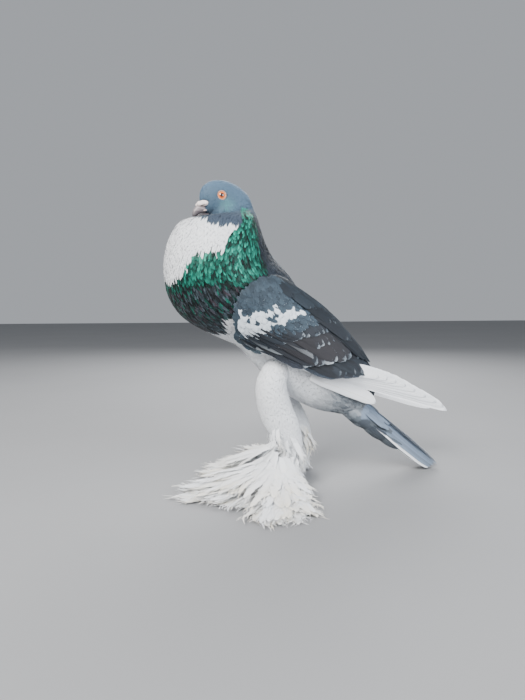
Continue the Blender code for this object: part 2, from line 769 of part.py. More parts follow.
def make_tail(torso):
    """The closed, roof-shaped tail with its rectrices and coverts."""
    root = place(0, *TAIL_ROOT)
    along = (place(0, *TAIL_TIP) - root).normalized()
    up = Vector((1, 0, 0)).cross(along)
    up = up if up.z > 0 else -up
    spots = [(root + along * (far * MM) - up * (deep * MM), wide * MM, half * MM)
             for far, deep, wide, half in TAIL_CORE]
    tail = tube("tail", spots, 16)
    feathers = []
    for n in range(UNDERTAIL_FEATHERS):
        share = n / (UNDERTAIL_FEATHERS - 1) * 2 - 1
        turn = math.radians(UNDERTAIL_TURN * share)
        out = Vector((math.sin(turn), 0, 0)) - up * math.cos(turn)
        places = []
        for far, deep, reach in UNDERTAIL_COURSE:
            reach += UNDERTAIL_STEP * (n % 2)
            places.append(root + along * (far * MM) - up * (deep * MM) + out * (reach * MM))
        feathers.append(blade("feather", through(*places), out, (UNDERTAIL_WEB, UNDERTAIL_WEB), BLUNT))
    for side in (1, -1):
        facing = tail_place(0, 0, side)[1]
        for down in UPPERTAIL_DOWN:

            def course(t, down=down, side=side):
                first, last = UPPERTAIL_SHARE
                low, high = UPPERTAIL_DROP
                return tail_place(first + (last - first) * t, down, side, low + (high - low) * t)[0]

            feathers.append(blade("feather", course, facing, (UPPERTAIL_WEB, UPPERTAIL_WEB), BLUNT))
    for side in (1, -1):
        facing = tail_place(0, 0, side)[1]
        for n in range(TAIL_FEATHERS):
            first = TAIL_SPREAD[0] + TAIL_ROOT_STEP * n
            last = TAIL_SPREAD[0] + TAIL_SPREAD[1] * n
            drop = TAIL_STEP * n + TAIL_TOP_DROP
            length = (place(0, *TAIL_TIP) - root).length / MM
            end = 1.0 - TAIL_OUTER_SHORT / length * n / (TAIL_FEATHERS - 1)

            def course(t, first=first, last=last, drop=drop, end=end, side=side):
                share = TAIL_START + (end - TAIL_START) * t
                return tail_place(share, first + (last - first) * t, side, drop)[0]

            inner = min(TAIL_WEBS[0], min(first, last) - TAIL_RIDGE * drop - TAIL_RIDGE_GAP)
            webs = (inner, TAIL_WEBS[1]) if side > 0 else (TAIL_WEBS[1], inner)
            feathers.append(blade("feather", course, facing, webs, BLUNT))
    boolean(tail, feathers, "UNION", ("MANIFOLD", "EXACT"))
    return cut_clear(tail, [torso])


def make_thigh(leg, name, torso):
    """The feathered thigh and lower leg, with the loose feathers of its hock."""
    hock = place(*leg["hock"])
    knee = place(*leg["knee"])
    centres = (place(*leg["hip"]), place(*leg["thigh"]), knee, hock.lerp(knee, 0.4), hock)
    spots = [(centre, wide * MM, deep * MM) for centre, (wide, deep) in zip(centres, THIGH_RADII)]
    thigh = tube("thigh_" + name, spots, 16)
    cut_clear(thigh, [torso])
    feathers = []
    for count, spread, behind, root, root_reach, tip, tip_reach, fall, bulge in LOOSE_FEATHERS:
        for n in range(count):
            turn = math.radians(spread * (2 * n / (count - 1) - 1))
            out = Vector((math.sin(turn), math.cos(turn) * behind, 0))
            start = hock.lerp(knee, root + 0.12 * (n % 2)) + out * (root_reach * MM)
            end = hock.lerp(knee, tip) + out * (tip_reach * MM) + Vector((0, 0, -(fall + 5 * (n % 2)) * MM))
            middle = start.lerp(end, 0.5) + out * (bulge * MM)
            feathers.append(blade("feather", through(start, middle, end), out, (5, 5), FRAYED))
    return boolean(thigh, feathers, "UNION", ("MANIFOLD", "EXACT"))


def make_shank(leg, name, thigh_core):
    """The feathered shank from the hock to the foot."""
    hock = place(*leg["hock"])
    sole = place(*leg["sole"])
    ankle = Vector((sole.x, sole.y, (FOOT_TOP + GAP) * MM))
    spots = [(hock + Vector((0, 0.002, 0.004)), 9.5 * MM, 12 * MM),
             (hock.lerp(ankle, 0.35), 9 * MM, 10 * MM),
             (hock.lerp(ankle, 0.8), 8.5 * MM, 9 * MM),
             (ankle + Vector((0, 0, -0.004)), 8.5 * MM, 9 * MM)]
    shank = tube("shank", spots, 14)
    level = sliced(shank, "shank_" + name, ankle, Vector((0, 0, -1)))
    bpy.data.objects.remove(shank)
    return cut_clear(level, [thigh_core])


def make_foot(leg, name):
    """A foot of four toes on small flats, and its four claws."""
    side = leg["side"]
    sole = place(*leg["sole"])
    toes = []
    claws = []
    for angle, length, toe_name in TOES:
        a = math.radians(angle * side)
        ahead = Vector((math.sin(a), -math.cos(a), 0))
        across = Vector((0, 0, 1)).cross(ahead)
        start = sole + Vector((0, 0, TOE_HEIGHT * MM))
        spots = [(start + ahead * (length * share * MM), wide * MM, wide * MM) for share, wide in TOE_COURSE]
        toes.append(tube("toe", spots, 8, across, floor=True))
        base = start + ahead * ((length + GAP) * MM)
        spots = []
        for share, rise, wide in CLAW_COURSE:
            centre = base + ahead * (share * CLAW_LENGTH * MM) + Vector((0, 0, rise * MM))
            spots.append((centre, wide * MM, wide * MM))
        claws.append(tube("claw_%s_%s" % (name, toe_name), spots, 6, across))
    forward = Vector((0, 1, 0))
    rings = [oval_ring(Vector((sole.x, sole.y, z * MM)), Vector((1, 0, 0)), forward, w * MM, w * MM, 12)
             for z, w in ((0, 7.5), (3, 9), (8, 9.5), (FOOT_TOP, 8.8))]
    foot = boolean(loft("foot_" + name, rings), toes, "UNION")
    return foot, claws


def make_muff(name, leg, part, neighbours):
    """A fan of long foot feathers that curve down to the floor and lie along it."""
    side = leg["side"]
    sole = place(*leg["sole"])
    (out, ahead, up), radii = MUFF_CORES[part]
    centre = sole + Vector((side * out * MM, -ahead * MM, up * MM))
    core = ball(name, centre, radii, None, 12, 8)
    for vertex in core.data.vertices:
        vertex.co.z = max(vertex.co.z, 0.0)
    largest_shell(core.data)
    cut_clear(core, neighbours)
    feathers = []
    for tier, (count, first, last, long, short, tip_height, half_width) in enumerate(MUFFS[part]):
        for n in range(count):
            share = n / (count - 1)
            angle = math.radians(first + (last - first) * share)
            length = long + (short - long) * share + 6 * math.sin(2.4 * n + tier)
            way = Vector((side * math.sin(angle), -math.cos(angle), 0))
            layer = n + 1.5 if tier else count - 1 - n
            level = MUFF_STEP * layer + VANE_THICK / 2
            start = centre + way * (min(radii[0], radii[1]) * 0.55 * MM)
            start.z = (up + MUFF_ROOTS[tier] + MUFF_STEP * (layer - 1.5 if tier else layer)) * MM
            end = Vector((sole.x, sole.y, 0)) + way * (length * MM)
            end.z = (tip_height + level - 0.25) * MM
            rest = start.lerp(end, 0.5)
            rest.z = (level + 1.0 + 0.6 * tip_height) * MM

            def course(t, start=start, rest=rest, end=end):
                if t < 0.5:
                    point = start.lerp(rest, 2 * t)
                    point.z = rest.z + (start.z - rest.z) * (1 - 2 * t) ** MUFF_FALL
                    return point
                point = rest.lerp(end, 2 * t - 1)
                return point

            feathers.append(blade("feather", course, Vector((0, 0, 1)), (half_width, half_width), FRAYED))
    return boolean(core, feathers, "UNION", ("MANIFOLD", "EXACT"))


def material(name, colour, roughness, metallic=0.0):
    """A plain coloured surface."""
    mat = bpy.data.materials.new(name)
    mat.use_nodes = True
    shader = mat.node_tree.nodes["Principled BSDF"]
    shader.inputs["Base Color"].default_value = (*colour, 1)
    shader.inputs["Roughness"].default_value = roughness
    shader.inputs["Metallic"].default_value = metallic
    return mat


COLOURS = {
    "head": ((0.16, 0.20, 0.27), 0.6), "neck": ((0.05, 0.09, 0.10), 0.45),
    "crop": ((0.10, 0.32, 0.24), 0.45), "torso": ((0.78, 0.76, 0.72), 0.8),
    "tail": ((0.14, 0.16, 0.20), 0.6), "wing": ((0.07, 0.08, 0.10), 0.6),
    "primaries": ((0.85, 0.84, 0.82), 0.6), "thigh": ((0.82, 0.79, 0.74), 0.8),
    "shank": ((0.82, 0.79, 0.72), 0.8), "muff": ((0.84, 0.80, 0.72), 0.8),
    "foot": ((0.55, 0.18, 0.15), 0.6), "claw": ((0.30, 0.26, 0.23), 0.4),
    "eye": ((0.75, 0.25, 0.05), 0.1), "upper": ((0.25, 0.22, 0.22), 0.4),
    "lower": ((0.20, 0.18, 0.18), 0.4), "cere": ((0.85, 0.80, 0.78), 0.7),
}


def finish(nodes):
    """Gives each node its material, and stands the bird over the origin."""
    pigeon = bpy.data.objects.new("pigeon", None)
    bpy.context.scene.collection.objects.link(pigeon)
    spread = []
    for axis in range(3):
        values = [vertex.co[axis] for node in nodes for vertex in node.data.vertices]
        spread.append((min(values), max(values)))
    pigeon.location = (-sum(spread[0]) / 2, -sum(spread[1]) / 2, -spread[2][0])
    for node in nodes:
        colour, roughness = COLOURS[node.name.split("_")[0]]
        node.data.materials.clear()
        node.data.materials.append(material(node.name, colour, roughness))
        node.data.shade_smooth()
        node.data.set_sharp_from_angle(angle=math.radians(50))
        node.parent = pigeon


def main():
    for obj in list(bpy.data.objects):
        bpy.data.objects.remove(obj)
    head, left_eye, right_eye = make_head()
    upper, lower, cere = make_bill(head)
    front = loft("front", body_rings(0, TORSO_START))
    neck, crop = make_neck_and_crop(front)
    torso = make_torso()
    tail = make_tail(torso)
    nodes = [head, left_eye, right_eye, upper, lower, cere, neck, crop, torso, tail]
    for side in (1, -1):
        primaries = make_primaries(side, torso)
        nodes += [primaries, make_wing(side, [torso, front, primaries])]
    bpy.data.objects.remove(front)
    for name, leg in LEGS.items():
        thigh = make_thigh(leg, name, torso)
        shank = make_shank(leg, name, thigh)
        foot, claws = make_foot(leg, name)
        toes = make_muff("muff_front_" + name, leg, "front", [foot, shank] + claws)
        outer = make_muff("muff_side_" + name, leg, "side", [foot, shank, toes] + claws)
        nodes += [thigh, shank, foot, toes, outer] + claws
    finish(nodes)


main()
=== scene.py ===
"""Looks of the Pomeranian pouter: skin, feathers, eyes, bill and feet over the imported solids."""

import math

import bmesh
import bpy
import numpy as np
from mathutils import Matrix, Vector
from mathutils.bvhtree import BVHTree
from mathutils.kdtree import KDTree


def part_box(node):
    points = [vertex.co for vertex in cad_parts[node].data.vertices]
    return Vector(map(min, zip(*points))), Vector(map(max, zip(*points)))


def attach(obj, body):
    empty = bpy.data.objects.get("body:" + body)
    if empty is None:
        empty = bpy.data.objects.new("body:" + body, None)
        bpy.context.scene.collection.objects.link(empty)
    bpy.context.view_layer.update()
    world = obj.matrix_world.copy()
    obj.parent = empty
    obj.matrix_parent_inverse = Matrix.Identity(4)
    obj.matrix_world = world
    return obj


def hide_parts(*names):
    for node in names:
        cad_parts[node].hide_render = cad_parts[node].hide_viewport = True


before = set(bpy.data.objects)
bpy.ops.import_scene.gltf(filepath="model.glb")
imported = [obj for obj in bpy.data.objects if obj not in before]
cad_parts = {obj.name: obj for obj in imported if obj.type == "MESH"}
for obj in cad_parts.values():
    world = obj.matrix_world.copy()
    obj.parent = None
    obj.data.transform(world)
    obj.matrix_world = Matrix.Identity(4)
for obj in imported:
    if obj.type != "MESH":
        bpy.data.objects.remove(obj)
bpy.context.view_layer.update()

MM = 0.001
SEED = 20240611
random = np.random.default_rng(SEED)

# The same sections, wing, hand, tail and leg sizes as the solids, in millimetres
BODY_SECTIONS = np.array((
    (101, 314.5, 39, 331, 25, 0.50, 1.0), (124, 313, 34.5, 318, 38.5, 0.52, 1.1),
    (137.5, 296, 30, 304, 50, 0.50, 1.25), (144, 273, 24, 289, 59, 0.47, 1.35),
    (144.5, 249, 14, 272, 63, 0.45, 1.4), (139, 225, -1, 256, 62, 0.44, 1.3),
    (125, 204, -14, 238, 58, 0.44, 1.2), (103, 189, -25, 222, 53, 0.45, 1.1),
    (80, 178, -38, 208, 49, 0.46, 1.0), (58, 167, -52, 194, 46, 0.47, 1.0),
    (38, 146, -66, 179, 43, 0.50, 1.0), (18, 122, -80, 162, 39, 0.50, 1.0),
    (-8, 103, -92, 146, 33, 0.50, 1.0), (-38, 88, -102, 133, 27, 0.50, 1.0),
    (-66, 81, -110, 121, 21, 0.50, 1.0), (-84, 78, -117, 111, 17, 0.50, 1.0)), float)
HEAD_SECTIONS = np.array((
    (31.0, 323, 34.2, 336, 5.0), (28.0, 321.8, 34.6, 344, 7.6), (26.0, 320.8, 31.0, 352.6, 11.2),
    (24.6, 320.0, 20, 359.5, 14.3), (24.2, 319.2, 4, 360.5, 16.4), (25.0, 318.3, -12, 355, 18.6),
    (27.6, 317.2, -24, 345, 21.5), (32, 314.5, -30, 331, 25.0)), float)
HEAD_END = 7.0
BODY_END = HEAD_END + 15.0
HEAD_F = 69.0
HEAD_YAW = 13.0
NECK_TURN_TOP = 313.0
NECK_TURN_FOOT = 245.0
EYE_PLACE = (11.4, 13.3, 340.8)
EYE_LOOK = (0.96, -0.22, 0.05)
WING_FRONT = np.array((7.4, 6.5, 5.8, 5.4, 5.5, 6.1))[:, None]
WING_REAR = np.array((12.3, 12.9, 13.2, 13.3, 13.2, 13.0))[:, None]
WING_LOW = np.array((-28, -48, -50, -37, -22, 4, 30), float)[:, None]
WING_HIGH = np.array((58, 70, 77, 80, 80, 80, 80), float)[:, None]
HAND_BASE = (37.5, -15, 135)
HAND_TIP = (20, -213, 79)
PRIMARY_TIPS = ((92, 20), (105, 20.5), (119, 20), (134, 18.5), (150, 15.5), (168, 11.5), (186, 8),
                (200, 4.5), (207, 1), (203, -3))
SHORT_PRIMARY_TIP = (103, -12)
TAIL_ROOT = (0, -98, 99)
TAIL_TIP = (0, -212, 6)
TAIL_SLOPE = 40
LEGS = {
    "left": {"side": 1, "hip": (24, 12, 152), "thigh": (31, 24, 124), "knee": (32, 19, 94),
             "hock": (32, -1, 54), "sole": (37, 16, 0)},
    "right": {"side": -1, "hip": (-24, -4, 140), "thigh": (-31, 4, 112), "knee": (-32, -8, 86),
              "hock": (-33, -32, 50), "sole": (-37, -16, 0)},
}
THIGH_RADII = ((11, 13), (16, 18), (15, 19.5), (13, 17.5), (10, 13))
COAT_DEPTH = 1.4
FLOOR_GAP = 0.45
VANE_BACK = 0.15
BARB_GAP = 0.8
SKIN_VOXEL = 0.0021
CERE_VOXEL = 0.00026
WELD = 0.00002


def unit(v):
    """Vectors scaled to a length of one."""
    return v / np.maximum(np.linalg.norm(v, axis=-1, keepdims=True), 1e-9)


def spot(x, f, z):
    """A place in millimetres from left, forward and up."""
    return np.array((x, -f, z), float)


def curve(table, k):
    """Rows of a table of sections, read along a smooth curve at the places k."""
    k = np.clip(np.asarray(k, float), 0, len(table) - 1)
    i = np.minimum(k.astype(int), len(table) - 2)
    t = (k - i)[..., None]
    rows = np.vstack([2 * table[0] - table[1], table, 2 * table[-1] - table[-2]])
    p0, p1, p2, p3 = rows[i], rows[i + 1], rows[i + 2], rows[i + 3]
    return 0.5 * (2 * p1 + (p2 - p0) * t + (2 * p0 - 5 * p1 + 4 * p2 - p3) * t ** 2
                  + (3 * p1 - p0 - 3 * p2 + p3) * t ** 3)


def turned(points, degrees):
    """Points turned to the bird's left about the head's upright line."""
    turn = np.radians(degrees)
    x = points[..., 0]
    y = points[..., 1] + HEAD_F
    c = np.cos(turn)
    s = np.sin(turn)
    return np.stack([c * x - s * y, s * x + c * y - HEAD_F, points[..., 2]], -1)


def section_points(rows, angle, lift=0.0):
    """Points on sections at angles round them: 0 left, 90 back, -90 belly."""
    front_f, front_z, rear_f, rear_z, half, widest, power = np.moveaxis(rows, -1, 0)
    length = np.hypot(rear_f - front_f, rear_z - front_z)
    c = np.cos(np.radians(angle))
    s = np.sin(np.radians(angle))
    reach = length * np.where(s > 0, 1 - widest, widest)
    x = half * np.sign(c) * np.abs(c) ** np.where(s > 0, power, 1.0)
    out_x = c / half
    out_s = s / reach
    size = np.hypot(out_x, out_s)
    share = widest + (reach * s + out_s / size * lift) / length
    return np.stack([x + out_x / size * lift, -(front_f + (rear_f - front_f) * share),
                     front_z + (rear_z - front_z) * share], -1)


def trunk(k, angle, lift=0.0):
    """A place over the neck, crop and body."""
    return section_points(curve(BODY_SECTIONS, k), angle, lift)


def bird(q, angle, lift=0.0):
    """A place over the whole bird, from the bill's root through the throat to the tail."""
    q = np.asarray(q, float)
    head = curve(HEAD_SECTIONS, q)
    ones = np.ones_like(head[..., 0])
    rows = np.stack([head[..., 0] + HEAD_F, head[..., 1], head[..., 2] + HEAD_F, head[..., 3],
                     head[..., 4], 0.5 * ones, ones], -1)
    on_head = turned(section_points(rows, angle, lift), HEAD_YAW)
    body = trunk(q - HEAD_END, angle, lift)
    share = np.clip((body[..., 2] - NECK_TURN_FOOT) / (NECK_TURN_TOP - NECK_TURN_FOOT), 0, 1)
    on_body = turned(body, HEAD_YAW * share * share * (3 - 2 * share))
    return np.where((q < HEAD_END)[..., None], on_head, on_body)


def wing_spot(u, v):
    """Body section and angle of a place on the wing shield."""
    first = curve(WING_FRONT, np.asarray(v) * 5)[..., 0]
    last = curve(WING_REAR, np.asarray(v) * 5)[..., 0]
    low = curve(WING_LOW, np.asarray(u) * 6)[..., 0]
    high = curve(WING_HIGH, np.asarray(u) * 6)[..., 0]
    return first + (last - first) * u, low + (high - low) * v


def wing(u, v, lift, side):
    """A place over the shield of one wing."""
    k, angle = wing_spot(u, v)
    return trunk(k, angle, lift) * (side, 1, 1)


def facing(surface, p, q, step_p, step_q):
    """Direction along the first coordinate and the outward normal of a surface."""
    along = surface(p + step_p, q, 0.0) - surface(p - step_p, q, 0.0)
    across = surface(p, q + step_q, 0.0) - surface(p, q - step_q, 0.0)
    normal = unit(np.cross(across, along))
    outward = surface(p, q, 1.0) - surface(p, q, 0.0)
    flip = np.where((normal * outward).sum(-1, keepdims=True) < 0, -1.0, 1.0)
    return along / (2 * step_p), across / (2 * step_q), normal * flip


EYE_LEFT = turned(spot(EYE_PLACE[0], EYE_PLACE[1] + HEAD_F, EYE_PLACE[2]), HEAD_YAW)
EYE_BOX = np.array([list(c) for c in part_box("eye_left")])
SHIFT = EYE_BOX.mean(0) - EYE_LEFT * MM


def dye(red, green, blue):
    """A colour given as on a screen, as the linear numbers that a shader takes."""
    c = np.array((red, green, blue), float) / 255
    return np.where(c < 0.04045, c / 12.92, ((c + 0.055) / 1.055) ** 2.4)


SNOW = dye(238, 241, 245)
CREAM = dye(238, 228, 204)
SLATE_HEAD = dye(70, 94, 114)
SLATE_CROWN = dye(82, 108, 132)
SLATE_CHIN = dye(58, 70, 86)
TURQUOISE = dye(76, 142, 142)
EMERALD = dye(44, 188, 160)
DEEP_GREEN = dye(6, 44, 40)
HIND_NECK = dye(27, 37, 48)
CROP_DARK = dye(8, 14, 18)
CROP_SLATE = dye(82, 98, 108)
CROP_PLUM = dye(84, 66, 78)
SHIELD_DARK = dye(25, 33, 42)
SHIELD_SLATE = dye(72, 90, 104)
SHIELD_BROWN = dye(44, 42, 46)
SHIELD_FRINGE = dye(136, 154, 168)
PATCH_WHITE = dye(222, 232, 240)
MANTLE = dye(43, 54, 67)
TAIL_GREY = dye(118, 133, 152)
TAIL_DARK = dye(40, 48, 60)
CERE_WHITE = dye(228, 223, 221)
CERE_PINK = dye(190, 170, 166)
# Painted shade in the nostril slits
NOSTRIL_PAINTED_SHADE = dye(50, 42, 44)
VENT_GREY = dye(120, 130, 138)


# Making and placing

def deselect():
    """Leaves nothing selected."""
    for thing in bpy.context.selected_objects:
        thing.select_set(False)


def join(things):
    """Pieces joined into the first of them."""
    deselect()
    for thing in things:
        thing.select_set(True)
    bpy.context.view_layer.objects.active = things[0]
    bpy.ops.object.join()
    things[0].select_set(False)
    return things[0]


def reshape(thing, *steps):
    """Works a piece over with modifiers, each given as its kind and its settings."""
    bpy.context.view_layer.objects.active = thing
    for kind, settings in steps:
        modifier = thing.modifiers.new("shape", kind)
        for setting, value in settings.items():
            setattr(modifier, setting, value)
        bpy.ops.object.modifier_apply(modifier=modifier.name)


def outward_faces(thing, merge=0.0):
    """Turns the faces of a closed piece outwards, after points closer than merge are made one."""
    mesh = bmesh.new()
    mesh.from_mesh(thing.data)
    if merge:
        bmesh.ops.remove_doubles(mesh, verts=mesh.verts, dist=merge)
    bmesh.ops.recalc_face_normals(mesh, faces=mesh.faces)
    mesh.to_mesh(thing.data)
    mesh.free()
    thing.data.shade_smooth()


def place_piece(thing, name, slot, material, *nodes):
    """Names a finished piece, sets it on the bird, gives its finish and hides the solids named by nodes."""
    thing.name = name
    thing.data.name = name
    thing.data.materials.append(material)
    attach(thing, "root")
    if nodes:
        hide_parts(*nodes)


def mesh_from(name, points, quads, triangles=()):
    """An object from arrays of points in millimetres and of faces."""
    mesh = bpy.data.meshes.new(name)
    points = np.asarray(points, float).reshape(-1, 3) * MM + SHIFT
    mesh.vertices.add(len(points))
    mesh.vertices.foreach_set("co", points.astype(np.float32).ravel())
    quads = np.asarray(quads, np.int32).reshape(-1, 4)
    triangles = np.asarray(triangles, np.int32).reshape(-1, 3)
    loops = np.concatenate([quads.ravel(), triangles.ravel()])
    mesh.loops.add(len(loops))
    mesh.loops.foreach_set("vertex_index", loops)
    starts = np.concatenate([np.arange(len(quads)) * 4, len(quads) * 4 + np.arange(len(triangles)) * 3])
    mesh.polygons.add(len(starts))
    mesh.polygons.foreach_set("loop_start", starts.astype(np.int32))
    mesh.update(calc_edges=True)
    mesh.shade_smooth()
    thing = bpy.data.objects.new(name, mesh)
    bpy.context.scene.collection.objects.link(thing)
    return thing


def ring_faces(count, sides, closed=False):
    """Faces from each ring of points to the next, and from the last to the first where closed."""
    i, j = np.meshgrid(np.arange(count if closed else count - 1), np.arange(sides), indexing="ij")
    m = (i + 1) % count
    k = (j + 1) % sides
    return np.stack([i * sides + j, m * sides + j, m * sides + k, i * sides + k], -1).reshape(-1, 4)


def loft(rings):
    """Points and faces of a closed body through rings of points."""
    rings = np.asarray(rings, float)
    count, sides = rings.shape[:2]
    points = np.concatenate([rings.reshape(-1, 3), rings[0].mean(0)[None], rings[-1].mean(0)[None]])
    j = np.arange(sides)
    k = (j + 1) % sides
    end = (count - 1) * sides
    first = np.stack([np.full(sides, count * sides), j, k], -1)
    last = np.stack([np.full(sides, count * sides + 1), end + k, end + j], -1)
    return points, ring_faces(count, sides), np.concatenate([first, last])


def near_tree(points):
    """A search tree over places."""
    tree = KDTree(len(points))
    for n, point in enumerate(points):
        tree.insert(point, n)
    tree.balance()
    return tree


def tube_rings(spots, sides=24, across=(1, 0, 0)):
    """Oval rings along a course of (centre, half width, half depth)."""
    centres = np.array([s[0] for s in spots], float)
    turn = 2 * np.pi * np.arange(sides) / sides
    rings = []
    for n, (centre, wide, deep) in enumerate(spots):
        ahead = centres[min(n + 1, len(spots) - 1)] - centres[max(n - 1, 0)]
        side = unit(np.array(across, float) - unit(ahead) * np.dot(across, unit(ahead)))
        up = unit(np.cross(ahead, side))
        rings.append(centre + np.outer(np.cos(turn) * wide, side) + np.outer(np.sin(turn) * deep, up))
    return rings


# The skin

def leg_course(leg):
    """Centres and half widths down the thigh, lower leg and shank."""
    hip, thigh, knee, hock, sole = (spot(*leg[n]) for n in ("hip", "thigh", "knee", "hock", "sole"))
    centres = [hip, thigh, knee, hock + (knee - hock) * 0.4, hock]
    spots = [(c, w, d) for c, (w, d) in zip(centres, THIGH_RADII)]
    ankle = sole + (0, 0, 12)
    return spots, [(hock + (0, 2, 4), 9.5, 12), (hock + (ankle - hock) * 0.35, 9, 10),
                   (hock + (ankle - hock) * 0.8, 8.5, 9), (ankle, 8.5, 9)]


def thinner(spots, depth):
    """A course of ovals, each smaller by a depth."""
    return [(c, w - depth, d - depth) for c, w, d in spots]


def wing_core_rings(side):
    """The wing under its feathers, as rings from its lower to its upper edge."""
    front_rise, rear_rise, edge_rise, inner = 8.5, 4.2, 3.0, 5.0
    rings = []
    for v in np.linspace(0.03, 0.95, 12):
        u = np.linspace(0.03, 0.72, 14)
        rim = np.minimum.reduce([np.ones_like(u), 4 * min(v, 1 - v) + 0.15 + 0 * u, 5 * u + 0.1])
        share = np.clip((u - 0.2) / 0.22, 0, 1)
        top = front_rise + (rear_rise - front_rise) * share
        lift = edge_rise + (top - edge_rise) * rim - 1.2
        v_row = np.full_like(u, v)
        rings.append(np.concatenate([wing(u, v_row, lift, side), wing(u[::-1], v_row, -inner + 0 * u, side)]))
    return rings


def tail_axes():
    """Root and tip of the tail, the way along it and the way up from it."""
    root = spot(*TAIL_ROOT)
    tip = spot(*TAIL_TIP)
    along = unit(tip - root)
    up = unit(np.cross((1.0, 0, 0), along))
    return root, tip, along, up if up[2] > 0 else -up


def make_skin():
    """One skin of head, neck, crop, body, wings, tail root and legs."""
    angles = np.arange(0, 360, 7.5)
    whole = np.linspace(0, BODY_END, 72)
    shells = [loft([bird(np.full_like(angles, q), angles, -COAT_DEPTH) for q in whole])]
    for leg in LEGS.values():
        upper, lower = leg_course(leg)
        shells.append(loft(tube_rings(thinner(upper, 2.0))))
        shells.append(loft(tube_rings(thinner(lower, 2.5))))
    for side in (1, -1):
        shells.append(loft(wing_core_rings(side)))
    root, _, along, up = tail_axes()
    core = ((-16, 14, 16, 16), (0, 14.5, 16, 16), (20, 17, 14.5, 14), (42, 14.5, 11, 10), (66, 10.5, 7, 6))
    shells.append(loft(tube_rings([(root + along * a - up * b, c, d) for a, b, c, d in core])))
    deselect()
    for shell in shells:
        piece = mesh_from("shell", *shell)
        outward_faces(piece)
        piece.select_set(True)
        bpy.context.view_layer.objects.active = piece
    bpy.ops.object.join()
    skin = bpy.context.view_layer.objects.active
    reshape(skin, ("REMESH", {"mode": "VOXEL", "voxel_size": SKIN_VOXEL}),
            ("SMOOTH", {"factor": 0.5, "iterations": 4}))
    bpy.ops.object.mode_set(mode="EDIT")
    bpy.ops.mesh.select_all(action="SELECT")
    bpy.ops.uv.smart_project(angle_limit=math.radians(66), island_margin=0.004)
    bpy.ops.object.mode_set(mode="OBJECT")
    skin.data.uv_layers[0].name = "OFBake"
    skin.data.shade_smooth()
    skin.select_set(False)
    return skin


# Feathers

# What each piece of feathers leaves for the skin: piece, roots, vane places, points for each
# feather, and colours
FEATHER_ROOTS = []

# Half width of a vane from root to tip: share of the length, share of the greatest half width
OUTLINES = {
    "scale": ((0, 0.45), (0.3, 0.85), (0.6, 1.0), (0.85, 0.8), (0.96, 0.45), (1, 0.1)),
    "hackle": ((0, 0.4), (0.3, 0.9), (0.55, 1.0), (0.8, 0.7), (0.93, 0.35), (1, 0.05)),
    "covert": ((0, 0.4), (0.25, 0.8), (0.6, 1.0), (0.85, 0.95), (0.95, 0.66), (1, 0.15)),
    "flight": ((0, 0.35), (0.2, 0.8), (0.55, 1.0), (0.85, 0.85), (0.95, 0.55), (1, 0.1)),
    "wisp": ((0, 0.3), (0.25, 0.8), (0.5, 1.0), (0.75, 0.75), (0.9, 0.38), (1, 0.04)),
    "plume": ((0, 0.3), (0.2, 0.8), (0.5, 1.0), (0.8, 0.95), (0.93, 0.68), (1, 0.15)),
}


def spread(value, count):
    """One value for each feather."""
    return np.broadcast_to(np.asarray(value, float), (count,)).copy()


def bent(root, middle, tip, t):
    """Places and directions at t on curves through a root, a middle and a tip."""
    place = root * (1 - t) * (1 - 2 * t) + middle * 4 * t * (1 - t) + tip * t * (2 * t - 1)
    return place, unit(root * (4 * t - 3) + middle * (4 - 8 * t) + tip * (4 * t - 1))


def swung(place, across, up, t, curl):
    """Places of a curved feather whose last part swings aside and up."""
    late = np.clip((t - 0.6) / 0.4, 0, 1) ** 2
    return place + across * late * curl[..., :1] + up * late * curl[..., 1:]


